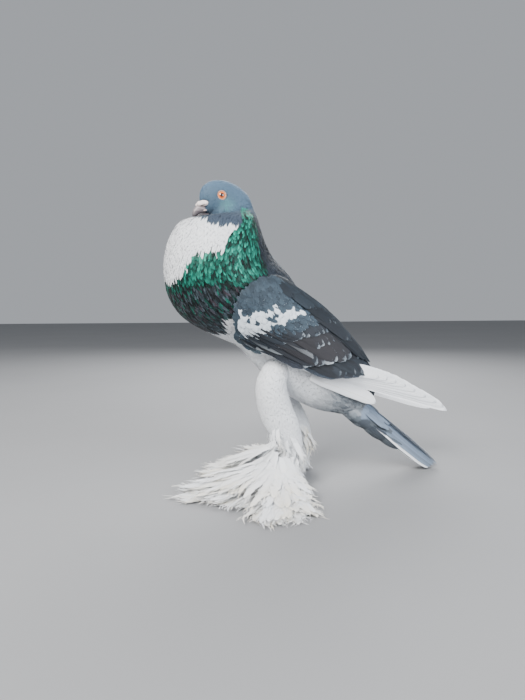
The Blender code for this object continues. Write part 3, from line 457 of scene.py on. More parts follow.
def feathers(name, root, middle, tip, out, wide, tints, outline="scale", rows=7, fine=False, thick=0.35,
             cup=0.1, lean=0.0, fray=0.0, rim=None, gleam=0.0, notch=0.0, split=0.0, turn=1.2, curl=None,
             below=1.0):
    """Many closed feathers as one mesh, each bent through its root, middle and tip.

    out points away from the bird, and wide is the half width, or one for each side of the
    shaft.  tints holds the colours at root and tip, rim the colour and amount of a pale edge,
    gleam how metallic the vane is, and turn how late its colour changes.  fine gives the vane
    a rim of its own, cup bends its sides in, lean tips it about the shaft, fray and notch
    break its edge, split lifts stretches of it, curl is how far the tip swings aside and up,
    and below how bright the underside is painted, a share under one being painted shade.
    """
    count = len(root)
    columns = np.array((-1, -0.86, 0, 0.86, 1, 0.86, 0, -0.86) if fine else (-1, 0, 1, 0), float)
    under = np.array((0, 0, 0, 0, 0, 1, 1, 1) if fine else (0, 0, 0, 1), float)
    ring = len(columns)
    total = rows * ring
    wide = np.asarray(wide, float)
    webs = np.stack([wide, wide], -1) if wide.ndim == 1 else wide
    t = np.linspace(0, 1, rows) ** 0.9
    down = t[None, :, None]
    shape = np.array(OUTLINES[outline])
    width = np.interp(t, shape[:, 0], shape[:, 1])
    centre, ahead = bent(root[:, None], middle[:, None], tip[:, None], down)
    across = unit(np.cross(np.broadcast_to(out[:, None], ahead.shape), ahead))
    up = np.cross(ahead, across)
    if curl is not None:
        centre = swung(centre, across, up, down, curl[:, None])
    web = np.where(columns < 0, webs[:, :1], webs[:, 1:])
    ragged = 1 - fray * random.random((count, rows, ring)) * (down ** 1.3) * 1.2
    torn = (random.random((count, rows, 1)) > 0.72) * (down > 0.3)
    ragged -= notch * torn * random.random((count, rows, ring))
    reach = columns * web[:, None, :] * width[None, :, None] * ragged
    thickness = thick * np.clip(1.15 - t, 0.15, 1.0)
    lens = (1 - np.abs(columns)) * np.where(under > 0, -0.5, 0.5)
    bowl = cup * reach ** 2 / np.maximum(webs.mean(1), 0.1)[:, None, None]
    lift = thickness[None, :, None] * lens[None, None, :] - bowl
    lift = lift - spread(lean, count)[:, None, None] * reach
    if split:
        lift = lift + split * (random.random((count, rows, 1)) - 0.5) * down
    points = centre[:, :, None] + across[:, :, None] * reach[..., None] + up[:, :, None] * lift[..., None]
    points[..., 2] = np.maximum(points[..., 2], FLOOR_GAP - VANE_BACK * under)
    base = (np.arange(count) * total)[:, None]
    last = total - ring
    if fine:
        caps = np.array((1, 2, 6, 7, 2, 3, 5, 6, last + 7, last + 6, last + 2, last + 1,
                         last + 6, last + 5, last + 3, last + 2))
        corners = np.array((0, 1, 7, 3, 4, 5, last + 7, last + 1, last, last + 5, last + 4, last + 3))
        triangles = (base + corners[None]).reshape(-1, 3)
    else:
        caps = np.array((0, 1, 2, 3, last + 3, last + 2, last + 1, last))
        triangles = ()
    vanes = (base + ring_faces(rows, ring).reshape(1, -1)).reshape(-1, 4)
    thing = mesh_from(name, points, np.concatenate([vanes, (base + caps[None]).reshape(-1, 4)]), triangles)
    # The edges of the vanes stay crisp
    ends = np.empty(2 * len(thing.data.edges), np.int32)
    thing.data.edges.foreach_get("vertices", ends)
    first, second = (ends.reshape(-1, 2) % total % ring).T
    crisp = (first == second) & (np.abs(columns[first]) == 1)
    thing.data.attributes.new("sharp_edge", "BOOLEAN", "EDGE").data.foreach_set("value", crisp)
    along = np.broadcast_to(down, (count, rows, ring))
    plume = np.stack([np.broadcast_to(columns * 0.5 + 0.5, along.shape), along], -1).reshape(-1, 2)
    blend = (along ** turn)[..., None]
    colour = tints[0][:, None, None] * (1 - blend) + tints[1][:, None, None] * blend
    # Painted shade: points on the underside of each vane are painted darker when their brightness share is
    # under one
    colour = colour * (1 - (1 - below) * under)[None, None, :, None]
    glow = np.broadcast_to(spread(gleam, count)[:, None], (count, total)).ravel()
    paint(thing, "tint", colour.reshape(-1, 3), glow)
    if rim is not None:
        rims = np.broadcast_to(rim[0][:, None], (count, total, 3)).reshape(-1, 3)
        paint(thing, "rim", rims, np.broadcast_to(rim[1][:, None], (count, total)).ravel())
    spread_uv(thing, "plume", plume)
    FEATHER_ROOTS.append((thing, root * MM + SHIFT, plume, total, tints[0] * 0.5 + tints[1] * 0.5))
    return thing


def paint(thing, name, colours, alpha):
    """A colour attribute on the points of a piece."""
    layer = thing.data.attributes.new(name, "FLOAT_COLOR", "POINT")
    values = np.concatenate([colours, np.asarray(alpha, float)[:, None]], 1)
    layer.data.foreach_set("color", values.astype(np.float32).ravel())


def spread_uv(thing, name, values):
    """A UV map from one pair of numbers for each point."""
    mesh = thing.data
    index = np.empty(len(mesh.loops), np.int32)
    mesh.loops.foreach_get("vertex_index", index)
    layer = mesh.uv_layers.new(name=name)
    layer.data.foreach_set("uv", values[index].astype(np.float32).ravel())


def settle_coat(skin):
    """Gives each feather its patch on the skin's unwrap, and the skin the coat's markings."""
    patch_size = 0.003
    mesh = skin.data
    tree = BVHTree.FromPolygons([v.co for v in mesh.vertices], [p.vertices[:] for p in mesh.polygons])
    uv = np.empty(len(mesh.loops) * 2, np.float32)
    mesh.uv_layers["OFBake"].data.foreach_get("uv", uv)
    uv = uv.reshape(-1, 2)
    middles = [uv[p.loop_start:p.loop_start + p.loop_total].mean(0) for p in mesh.polygons]
    for thing, roots, plume, total, _ in FEATHER_ROOTS:
        patch = np.array([middles[tree.find_nearest(Vector(point))[2]] for point in roots], float)
        spread_uv(thing, "OFBake", np.repeat(patch, total, 0) + (plume - 0.5) * patch_size)
    near = near_tree(np.concatenate([entry[1] for entry in FEATHER_ROOTS]))
    tints = np.concatenate([entry[4] for entry in FEATHER_ROOTS])
    order = [near.find(v.co)[1] for v in mesh.vertices]
    paint(skin, "tint", tints[order], np.zeros(len(order)))


# Body feathers

def dart(surface, p_range, q_range, spacing, keep=None, tries=26000, steps=(0.03, 0.8)):
    """Even but irregular places on a surface, at least the spacing apart."""
    p = random.uniform(*p_range, tries)
    q = random.uniform(*q_range, tries)
    along, across = facing(surface, p, q, *steps)[:2]
    area = np.linalg.norm(np.cross(along, across), axis=-1)
    gap = spacing(p, q)
    weight = area / gap ** 2
    wanted = random.random(tries) < weight / np.quantile(weight, 0.98)
    p, q, gap = p[wanted], q[wanted], gap[wanted]
    points = surface(p, q, 0.0)
    if keep is not None:
        inside = keep(points)
        p, q, gap, points = p[inside], q[inside], gap[inside], points[inside]
    grid = {}
    chosen = []
    for n, (x, y, z) in enumerate(np.floor(points / gap.max()).astype(int)):
        near = (m for a in (x - 1, x, x + 1) for b in (y - 1, y, y + 1) for c in (z - 1, z, z + 1)
                for m in grid.get((a, b, c), ()))
        if all(((points[n] - points[m]) ** 2).sum() >= gap[n] ** 2 for m in near):
            chosen.append(n)
            grid.setdefault((x, y, z), []).append(n)
    return p[chosen], q[chosen]


# Edges of the markings, as (angle round the body, section) and for the back (section, angle)
HEAD_LOW = ((-90, 0.0), (-14, 0.0), (-4, -0.1), (6, -0.3), (20, -0.2), (30, 0.05), (45, 0.5), (60, 0.9),
            (90, 1.1))
BIB_TOP = ((-90, 0.62), (-72, 0.66), (-58, 1.05), (-42, 1.3), (-34, 1.6), (-18, 1.8), (-8, 1.95), (-2, 1.8),
           (12, 1.85))
BIB_LOW = ((-90, 4.35), (-66, 4.6), (-48, 4.45), (-38, 4.1), (-34, 3.65), (-30, 3.4), (-24, 3.5), (-16, 3.3),
           (-10, 3.55), (-2, 3.65), (0, 3.0), (1.5, 2.6), (6, 2.35), (8, 2.05), (12, 1.85), (13, -1))
GREEN_LOW = ((-90, 4.75), (-58, 4.85), (-14, 4.9), (-2, 5.2), (8, 5.45), (18, 5.35), (26, 5.2), (40, 4.8))
GREEN_BACK = ((-0.3, 6), (0.1, 28), (1.05, 42), (3.85, 40), (4.4, 40), (4.8, 36), (5.2, 26), (5.5, 18))
BELLY_EDGE = ((-90, 7.45), (-60, 7.7), (-42, 7.5), (-36, 6.9), (-10, 6.7), (20, 6.9), (34, 7.6), (40, 40))
BIB_REAR = 13
THROAT_END = 2
NAPE_END = 5.6
VENT_START = 11.6


def along_edge(points, x):
    """An edge of the markings, read at x."""
    table = np.array(points, float)
    return np.interp(x, table[:, 0], table[:, 1])


def mixed(a, b, share):
    """Colours a with a share of the colours b."""
    share = np.asarray(share, float)[:, None]
    return a * (1 - share) + b * share


def graded(q, value, gain=0.0, start=0.0, span=1.0):
    """A size along the bird that gains something from section start, over a span."""
    return value + gain * np.clip((q - start) / span, 0, 1)


def body_markings(q, angle):
    """Root and tip colours and gleam of body feathers that show at sections q and angles."""
    count = len(q)
    a = 90 - np.abs(((angle - 90 + 180) % 360) - 180)
    a = a + random.normal(0, 1.5, count)
    k = q - HEAD_END + random.normal(0, 0.05, count)
    shade = random.random(count)
    fleck = random.random(count)
    head = k < along_edge(HEAD_LOW, a)
    # Slate head, bluer over the crown, with a green cheek and a dark chin
    blue = mixed(SLATE_HEAD, SLATE_CROWN, np.clip((a - 5) / 60, 0, 1))
    blue = mixed(blue, SLATE_CHIN, np.clip((-30 - a) / 40, 0, 1) * 0.8)
    cheek = np.exp(-((q - 5.6) / 1.1) ** 2 - ((a + 16) / 15) ** 2)
    blue = mixed(blue, TURQUOISE, cheek * (0.25 + 0.5 * shade))
    blue = mixed(blue, HIND_NECK, np.clip((q - 6.2) / 1.2, 0, 1) * np.clip((a - 30) / 25, 0, 1) * 0.6)
    # Throat and bib
    low = mixed(blue, SLATE_CHIN, np.clip(k / 1.4 + 0.3, 0, 1))
    top = along_edge(BIB_TOP, a)
    throat = ~head & (k < top) & (a < BIB_REAR) & (k < THROAT_END)
    bib = ~head & ~throat & (k < along_edge(BIB_LOW, a)) & (a < BIB_REAR)
    # Green neck, its colour broken by dark feathers toward its edges
    back = along_edge(GREEN_BACK, k)
    edge = along_edge(GREEN_LOW, a)
    green = ~head & ~throat & ~bib & (a < back) & (k < edge)
    fade = np.clip((edge - k) / 0.8 + 0.25, 0, 1) * np.clip((back - a) / 10 + 0.35, 0, 1)
    bright = mixed(DEEP_GREEN, EMERALD, 0.12 + shade ** 1.3 * fade)
    bright = mixed(bright, CROP_DARK, (fleck < 0.2 + 0.5 * (1 - fade)) * 0.85)
    bright = mixed(bright, TURQUOISE, np.clip(1 - (k + 0.3) / 1.2, 0, 1) * 0.7)
    # Dark hind neck
    nape = ~head & (a >= back) & (k < NAPE_END)
    hind = mixed(HIND_NECK, MANTLE, np.clip(k / NAPE_END, 0, 1))
    hind = mixed(blue, hind, np.clip(k / 1.6, 0, 1))
    # Dark crop and shoulders, with slate, plum and green feathers among them
    dark = mixed(CROP_DARK, CROP_SLATE, shade ** 2.6 + 0.12 * np.clip((k - NAPE_END) / 1.5, 0, 1))
    dark = mixed(dark, CROP_PLUM, (fleck > 0.9) * 0.5)
    dark = mixed(dark, mixed(DEEP_GREEN, EMERALD, 0.3 * shade), (fleck < 0.2) * np.clip(7 - k, 0, 1))
    dark = mixed(dark, MANTLE, np.clip((a - 30) / 30, 0, 1))
    # White belly, grey at the vent
    belly = ~head & (k >= along_edge(BELLY_EDGE, a))
    vent = np.clip((k - VENT_START - 0.7 * np.clip((-8 - a) / 40, 0, 1)) / 1.3, 0, 1) * (a < 28)
    white = SNOW * (0.95 + 0.05 * shade[:, None])
    soft = mixed(white, mixed(VENT_GREY, TAIL_DARK, 0.6 * shade), vent * (0.75 + 0.25 * fleck))
    tip = dark
    for where, colour in ((nape, hind), (green, bright), (bib, white), (throat, low), (head, blue),
                          (belly, soft)):
        tip = np.where(where[:, None], colour, tip)
    pale = bib | belly
    root = tip * np.where(pale, 0.98, np.where(head | throat, 0.9, np.where(green, 0.16, 0.45)))[:, None]
    gleam = np.where(green, 0.3 + 0.4 * fade, np.where(pale | head | throat, 0.0, 0.15))
    return root, tip, gleam


def coat(name, slot, node, q_range, spacing, length, half, lifts, outline="scale", keep=None, clear=None,
         tries=30000, pieces=1, rows=5, sway=5.0, rise=0.2, turn=1.2):
    """Body feathers over one stretch of the bird, in one piece or more.

    spacing, length and half are graded along the bird, and lifts are the heights of root,
    middle and tip over the body.  keep says which places carry feathers, and clear which
    places their tips may reach.
    """
    q, angle = dart(bird, q_range, (0, 360), lambda p, _: graded(p, *spacing), keep, tries)
    order = np.argsort(q)
    q, angle = q[order], angle[order]
    count = len(q)
    along, across, normal = facing(bird, q, angle, 0.03, 0.8)
    size = graded(q, *length) * random.uniform(0.85, 1.15, count)
    drift = np.radians(random.normal(0, sway, count))
    step_q = size * np.cos(drift) / np.linalg.norm(along, axis=-1)
    step_a = size * np.sin(drift) / np.maximum(np.linalg.norm(across, axis=-1), 0.2)
    if clear:
        reach = np.ones(count)
        for share in (0.75, 0.5, 0.3):
            reach[~clear(bird(q + step_q * reach, angle + step_a * reach, 0.3))] = share
        step_q, step_a = step_q * reach, step_a * reach
    dark, light, gleam = body_markings(q + step_q * 0.8, angle + step_a * 0.8)
    flat = np.where(light.min(1) > 0.5, 0.35, 1.0)
    jitter = random.uniform(-rise, rise, count) * flat
    root = bird(q, angle, spread(lifts[0], count))
    middle = bird(q + step_q * 0.5, angle + step_a * 0.5, lifts[1] * flat + jitter * 0.5)
    tip = bird(q + step_q, angle + step_a, lifts[2] * (0.4 + 0.6 * flat) + jitter)
    wide = graded(q, *half) * random.uniform(0.85, 1.15, count) * np.where(gleam > 0.25, 1.3, 1.0)
    lean = random.normal(0, 0.05, count)
    for n, part in enumerate(np.array_split(np.arange(count), pieces)):
        word = name if pieces == 1 else "%s_%d" % (name, n + 1)
        thing = feathers(word, root[part], middle[part], tip[part], normal[part], wide[part],
                         (dark[part], light[part]), outline, rows, thick=0.12, cup=0.05, lean=lean[part],
                         fray=0.12, gleam=gleam[part], turn=turn)
        place_piece(thing, word, slot, SMALL_PLUMAGE, node)


# Wings

# Outline of the white shoulder patch, and the pale flecks (u, v, size), on the shield
PATCH = np.array(((0.10, 0.13), (0.07, 0.24), (0.12, 0.31), (0.18, 0.30), (0.21, 0.32), (0.15, 0.38),
                  (0.18, 0.44), (0.19, 0.51), (0.17, 0.57), (0.24, 0.55), (0.21, 0.64), (0.27, 0.66),
                  (0.30, 0.58), (0.29, 0.49), (0.35, 0.44), (0.28, 0.43), (0.29, 0.34), (0.33, 0.24),
                  (0.37, 0.17), (0.35, 0.11), (0.25, 0.17), (0.16, 0.15)))
PATCH_CENTRE = (0.22, 0.38)
PATCH_STRETCH = (1.12, 1.1)
PALE_MARKS = ((0.39, 0.13, 0.04), (0.46, 0.25, 0.035), (0.50, 0.34, 0.03), (0.53, 0.10, 0.035),
              (0.53, 0.20, 0.03), (0.71, 0.34, 0.04), (0.73, 0.15, 0.035), (0.33, 0.66, 0.03),
              (0.38, 0.50, 0.025))
# How much of a pale rim each kind of wing feather has
RIM_SHARES = {"lesser": 0.5, "median": 0.75, "greater": 0.6, "secondary": 0.35, "scapular": 0.12}


def in_patch(u, v):
    """Whether places on the shield lie in the white shoulder patch."""
    (u0, v0), (wide, high) = PATCH_CENTRE, PATCH_STRETCH
    u, v = u0 + (u - u0) / wide, v0 + (v - v0) / high
    inside = np.zeros(len(u), bool)
    for (u1, v1), (u2, v2) in zip(PATCH, np.roll(PATCH, -1, 0)):
        inside ^= ((v1 > v) != (v2 > v)) & (u < (u2 - u1) * (v - v1) / (v2 - v1 + 1e-9) + u1)
    return inside


def wing_markings(u, v, kind):
    """Colours and rim of wing feathers with their tips at u and v."""
    count = len(u)
    shade = random.random(count)
    small = kind == "lesser"
    tip = mixed(SHIELD_DARK, SHIELD_SLATE, 0.35 + 0.5 * shade if small else 0.25 * shade)
    tip = tip * (1.0 if small else 0.85)
    tip = mixed(tip, SHIELD_BROWN, np.exp(-((u - 0.66) / 0.2) ** 2 - ((v - 0.45) / 0.3) ** 2) * 0.9)
    root = tip * 0.55
    rim = mixed(SHIELD_FRINGE, PATCH_WHITE, 0.7 * random.random(count))
    amount = np.clip(RIM_SHARES[kind] + (0.6 if small else 0.35) * (random.random(count) - 0.2), 0, 1)
    if kind in ("lesser", "median"):
        white = in_patch(u + random.normal(0, 0.010, count), v + random.normal(0, 0.016, count))
        white &= random.random(count) > 0.1
        tip[white] = PATCH_WHITE * random.uniform(0.9, 1.0, (white.sum(), 1))
        root[white] = tip[white]
        rim[white] = PATCH_WHITE
    if not small:
        for mark_u, mark_v, size in PALE_MARKS:
            near = np.hypot(u - mark_u, v - mark_v) < size
            tip[near] = mixed(tip[near], PATCH_WHITE, 0.45 * np.ones(near.sum()))
            rim[near] = PATCH_WHITE
            amount[near] = 1.0
    return (root, tip), (rim, amount)


def wing_height(u):
    """How high the tips of the small coverts stand over the body."""
    return np.interp(u, (-0.05, 0.0, 0.07, 0.14, 0.22, 0.30, 0.38, 0.5),
                     (4.0, 6.0, 8.2, 9.6, 10.6, 11.4, 12.0, 12.4))


def lesser_coverts(side):
    """Small scale-like coverts over the front of one shield."""
    def surface(u, v, lift):
        return wing(u, v, lift, side)

    u, v = dart(surface, (-0.06, 0.36), (0.01, 0.86), lambda p, _: 2.8 + 2.6 * p, None, 20000, (0.02, 0.02))
    count = len(u)
    along, across, normal = facing(surface, u, v, 0.02, 0.02)
    size = random.uniform(9.5, 12.5, count)
    drift = random.normal(0, 0.12, count)
    tip_u = u + size * np.cos(drift) / np.linalg.norm(along, axis=-1)
    tip_v = v + size * np.sin(drift) / np.linalg.norm(across, axis=-1)
    lift = wing_height(tip_u) + random.uniform(-0.25, 0.25, count)
    tints, rim = wing_markings(tip_u, tip_v, "lesser")
    pale = np.where(tints[1].min(1) > 0.5, 1.25, 1.0)
    half = random.uniform(2.4, 3.2, count) * pale
    lean = random.normal(0, 0.05, count)
    return feathers("row", surface(u, v, lift - 2.4), surface((u + tip_u) / 2, (v + tip_v) / 2, lift - 0.5),
                    surface(tip_u, tip_v, lift), normal, half, tints, "scale", 7, True, thick=0.16, cup=0.05,
                    lean=lean, fray=0.2, rim=rim, gleam=0.12, turn=1.8)


def wing_row(side, roots, tips, lifts, half, kind, rows=14, tilt=8.0):
    """A row of wing feathers from (u, v) roots to (u, v) tips."""
    count = len(roots)
    middle = (roots + tips) / 2
    low = kind in ("greater", "secondary")
    over = 3.0 * np.clip((0.75 - middle[:, 1]) / 0.25, 0, 1) if low else 0.0
    jitter = random.uniform(-0.2, 0.2, count)
    start = wing(roots[:, 0], roots[:, 1], lifts[0] + 0 * jitter, side)
    bend = wing(middle[:, 0], middle[:, 1], lifts[1] + 0.5 * over + jitter * 0.5, side)
    end = wing(tips[:, 0], tips[:, 1], lifts[2] + over + jitter, side)
    out = unit(wing(middle[:, 0], middle[:, 1], 10.0, side) - wing(middle[:, 0], middle[:, 1], 0.0, side))
    tints, rim = wing_markings(tips[:, 0], tips[:, 1], kind)
    lean = math.tan(math.radians(tilt)) * side + random.normal(0, 0.02, count)
    half = half * random.uniform(0.94, 1.06, count)
    return feathers("row", start, bend, end, out, half, tints, "covert", rows, True, thick=0.4, cup=0.06,
                    lean=lean, fray=0.05, rim=rim, gleam=0.12, turn=3.0)


def ladder(low, high, count, jitter=0.0):
    """Evenly stepped pairs from low to high, each a little off its place."""
    share = np.linspace(0, 1, count)[:, None]
    pairs = np.asarray(low) * (1 - share) + np.asarray(high) * share
    return pairs + random.normal(0, 1, pairs.shape) * jitter


# Rows of the wing: kind, lowest and highest root, lowest and highest tip, how many, heights of
# root, bend and tip, half width, tilt, and points along each vane
WING_ROWS = (
    ("secondary", (0.50, 0.20), (0.40, 0.76), (0.80, 0.19), (1.00, 0.74), 10, (2.6, 8.8, 11.3), 10.5, 9, 18),
    ("greater", (0.24, 0.17), (0.20, 0.68), (0.62, 0.17), (0.76, 0.66), 9, (5.5, 9.2, 11.7), 10.5, 9, 18),
    ("median", (0.16, 0.14), (0.14, 0.70), (0.49, 0.15), (0.61, 0.68), 11, (7.0, 10.0, 12.2), 8.0, 8, 16),
    ("median", (0.12, 0.11), (0.10, 0.76), (0.41, 0.12), (0.50, 0.74), 15, (6.5, 9.8, 12.3), 6.0, 7, 14),
    ("scapular", (0.30, 0.72), (0.22, 0.97), (0.80, 0.74), (0.94, 0.93), 6, (6.0, 13.0, 14.2), 9.5, 6, 18),
    ("scapular", (0.16, 0.74), (0.10, 0.97), (0.60, 0.75), (0.72, 0.95), 8, (7.0, 13.4, 14.8), 7.5, 6, 16),
    ("scapular", (0.06, 0.78), (0.02, 0.98), (0.42, 0.78), (0.52, 0.96), 9, (6.0, 12.9, 14.9), 6.2, 6, 14),
    ("scapular", (-0.02, 0.78), (-0.06, 0.98), (0.26, 0.78), (0.34, 0.97), 9, (2.5, 11.0, 14.0), 5.6, 6, 14),
    ("scapular", (-0.06, 0.74), (-0.10, 0.98), (0.12, 0.76), (0.18, 0.97), 10, (1.0, 7.6, 11.4), 5.0, 6, 12),
)


def make_wing(side):
    """All coverts, secondaries, tertials and scapulars of one folded wing."""
    pieces = [lesser_coverts(side)]
    for kind, root_low, root_high, tip_low, tip_high, count, lifts, half, tilt, length_rows in WING_ROWS:
        roots = ladder(root_low, root_high, count)
        tips = ladder(tip_low, tip_high, count, 0.010)
        pieces.append(wing_row(side, roots, tips, lifts, half, kind, length_rows, tilt))
    return pieces


def hand_frame(side):
    """Base of the hand of a wing, and the ways along it, up from it and out."""
    base = spot(*HAND_BASE)
    along = unit(spot(*HAND_TIP) - base)
    out = unit(np.array((1.0, 0, 0)) - along * along[0])
    across = np.cross(along, out)
    across = across if across[2] > 0 else -across
    return [v * (side, 1, 1) for v in (base, along, across, out)]


def make_primaries(side):
    """The ten white primaries of one wing, stacked with the innermost on the outside."""
    layer, root_reach, outer, inner = 0.86, 20, 4.5, 11.5
    base, along, across, out = hand_frame(side)
    last = len(PRIMARY_TIPS) - 1
    starts, ends, bends = [], [], []
    for n, (far, high) in enumerate(PRIMARY_TIPS):
        if side > 0 and n == last:
            far, high = SHORT_PRIMARY_TIP
        level = out * ((last / 2 - n) * layer)
        start = base + along * (root_reach + 2.0 * (last - n)) + across * (1 + 1.5 * (last - n)) + level
        if n == last:
            start = base + along * 6 - across * 2 + level + out * 5.0
        end = base + along * far + across * high + level
        starts.append(start)
        ends.append(end)
        bends.append((start + end) / 2 + across * (0.02 * (far - root_reach)))
    count = last + 1
    webs = np.tile((outer, inner) if side > 0 else (inner, outer), (count, 1)).astype(float)
    webs[last] = webs[last] * (1.5, 1.0) if side > 0 else webs[last] * (1.0, 1.5)
    white = np.tile(SNOW, (count, 1)) * random.uniform(0.95, 1.0, (count, 1))
    # Grey rims on the white primaries are painted shade lines between the stacked feathers
    rim = (np.tile(VENT_GREY, (count, 1)), np.full(count, 0.5))
    return feathers("primary", np.array(starts), np.array(bends), np.array(ends), np.tile(out, (count, 1)),
                    webs, (white * 0.97, white), "flight", 30, True, thick=0.5, cup=0.03, fray=0.04, rim=rim)


# Tail

def tail_place(share, down, side, drop=0.0):
    """A place on one slope of the closed tail, and the slope's outward direction."""
    root, tip, _, up = tail_axes()
    slope = math.radians(TAIL_SLOPE)
    outward = np.array((side * math.cos(slope), 0, 0)) - up * math.sin(slope)
    normal = up * math.cos(slope) + np.array((side * math.sin(slope), 0, 0))
    return root + (tip - root) * share + outward * down - normal * drop, normal


def make_tail():
    """Twelve rectrices in a closed roof, with the coverts over and under their roots."""
    pieces = []
    root, tip, along, up = tail_axes()
    length = np.linalg.norm(tip - root)
    half_count, root_share, shorter = 6, 0.10, 12
    for side in (1, -1):
        starts, bends, ends, webs = [], [], [], []
        for n in range(half_count):
            first = 2.2 + 2.4 * n
            last = 2.2 + 2.5 * n
            drop = 0.9 * n + 1.0
            end = 1.0 - shorter / length * n / 5
            starts.append(tail_place(root_share, first, side, drop)[0])
            bends.append(tail_place((root_share + end) / 2, (first + last) / 2, side, drop)[0])
            ends.append(tail_place(end, last, side, drop)[0])
            inner = min(9.0, first - 0.84 * drop - 0.5)
            webs.append((inner, 8.0) if side > 0 else (8.0, inner))
        normal = tail_place(0, 0, side)[1]
        grey = TAIL_GREY * np.array((1.0, 0.86, 1.05, 0.8, 1.0, 1.0))[:, None]
        grey[5] = SNOW
        # Pale rims, the outermost's white edge, and dark rims on the second and fourth rectrices, which are
        # painted shade lines between overlapping feathers
        rim = np.array((SHIELD_FRINGE, TAIL_DARK, SHIELD_FRINGE, TAIL_DARK, SHIELD_FRINGE, SNOW))
        amount = np.array((0.4, 0.9, 0.3, 0.9, 0.3, 1.0))
        # The rectrices' undersides are painted at a third of their brightness, as painted shade
        pieces.append(feathers("rectrix", np.array(starts), np.array(bends), np.array(ends),
                               np.tile(normal, (half_count, 1)), np.array(webs), (grey, grey), "flight", 30,
                               True, thick=0.5, cup=0.05, fray=0.03, rim=(rim, amount), gleam=0.05,
                               below=0.3))
        # Upper coverts
        count = 10
        share = random.uniform(0.0, 0.16, count)
        down = np.linspace(1.0, 17.0, count)
        places = [np.array([tail_place(a + step, b, side, drop)[0] for a, b in zip(share, down)])
                  for step, drop in ((0.0, -0.2), (0.11, -1.2), (0.22, -1.0))]
        tint = np.tile(TAIL_GREY, (count, 1)) * random.uniform(0.8, 1.05, (count, 1))
        rim = (np.tile(SHIELD_FRINGE, (count, 1)), np.full(count, 0.3))
        pieces.append(feathers("covert", *places, np.tile(normal, (count, 1)), np.full(count, 5.0),
                               (tint * 0.8, tint), "covert", 12, True, thick=0.4, fray=0.08, rim=rim,
                               gleam=0.05))
    # Under coverts, in rows of (distance from the root, depth, reach, length)
    starts, bends, ends, outs = [], [], [], []
    for row, (far, deep, reach, long) in enumerate(((8, 15, 11, 34), (26, 16, 12, 36), (46, 15, 11, 40))):
        for n in range(9):
            turn = math.radians(62 * (n / 4 - 1))
            out = np.array((math.sin(turn), 0, 0)) - up * math.cos(turn)
            far_n = far + random.uniform(-3, 3)
            starts.append(root + along * far_n - up * deep + out * (reach - 3))
            bends.append(root + along * (far_n + long * 0.5) - up * (deep - 1) + out * (reach + 2.0 - row))
            ends.append(root + along * (far_n + long) - up * (deep - 3) + out * (reach + 1.0 - 2.2 * row))
            outs.append(out)
    count = len(starts)
    tint = mixed(VENT_GREY, TAIL_DARK, random.random(count) * 0.8)
    rim = (np.tile(SHIELD_FRINGE, (count, 1)), np.full(count, 0.4))
    pieces.append(feathers("undercovert", np.array(starts), np.array(bends), np.array(ends), np.array(outs),
                           np.full(count, 6.5), (tint * 0.85, tint), "covert", 14, True, thick=0.4, cup=0.15,
                           fray=0.1, rim=rim))
    return pieces


# Legs and muffs

def leg_point(spots, t, turn, lift):
    """A place round a course of ovals: t along it, turn in degrees from the bird's left."""
    table = np.array([(*c, w, d) for c, w, d in spots], float)
    last = len(table) - 1
    rows = curve(table, t * last)
    ahead = unit(curve(table, np.clip(t + 0.02, 0, 1) * last)[..., :3]
                 - curve(table, np.clip(t - 0.02, 0, 1) * last)[..., :3])
    across = unit(np.array((1.0, 0, 0)) - ahead * ahead[..., :1])
    up = np.cross(ahead, across)
    a = np.radians(turn)[..., None]
    lift = np.asarray(lift)[..., None]
    return (rows[..., :3] + across * np.cos(a) * (rows[..., 3:4] + lift)
            + up * np.sin(a) * (rows[..., 4:5] + lift))


def make_leg_coat(leg):
    """Close white feathers of the thigh and lower leg, longer toward the hock."""
    upper = leg_course(leg)[0]
    rise = unit(upper[0][0] - upper[1][0]) * 70.0

    def surface(t, turn, lift):
        above = np.maximum(-t, 0)
        return leg_point(upper, np.maximum(t, 0), turn, lift - 12 * above) + rise * above[..., None]

    t, turn = dart(surface, (-0.22, 1.0), (0, 360), lambda p, _: 2.1 + 0 * p, None, 28000)
    count = len(t)
    along, _, normal = facing(surface, t, turn, 0.01, 0.8)
    size = (12 + 6 * t) * random.uniform(0.85, 1.2, count)
    length = np.linalg.norm(along, axis=-1)
    step = size / length
    jitter = random.uniform(-0.06, 0.1, count)
    random.uniform(0.7, 1.5, count)  # left unused, so that all later draws stay as they are
    fall = unit(unit(spot(*leg["hock"]) - spot(*leg["knee"])) + unit(spot(*leg["sole"]) - spot(*leg["hock"])))
    places = [surface(t, turn, -1.0 - 4 * np.clip(1 - t / 0.2, 0, 1))]
    for share, lift in ((0.5, 0.1 + jitter * 0.5), (1.0, 0.2 + jitter)):
        end = t + step * share
        past = (np.clip(end - 1, 0, 1) * length)[:, None]
        places.append(surface(np.minimum(end, 1), turn, lift) + fall * past)
    tint = SNOW * random.uniform(0.95, 1.0, (count, 1))
    half = random.uniform(1.5, 2.1, count)
    lean = random.normal(0, 0.04, count)
    return feathers("legcoat", *places, normal, half, (tint * 0.98, tint), "hackle", 6, thick=0.1, cup=0.04,
                    lean=lean, fray=0.15)


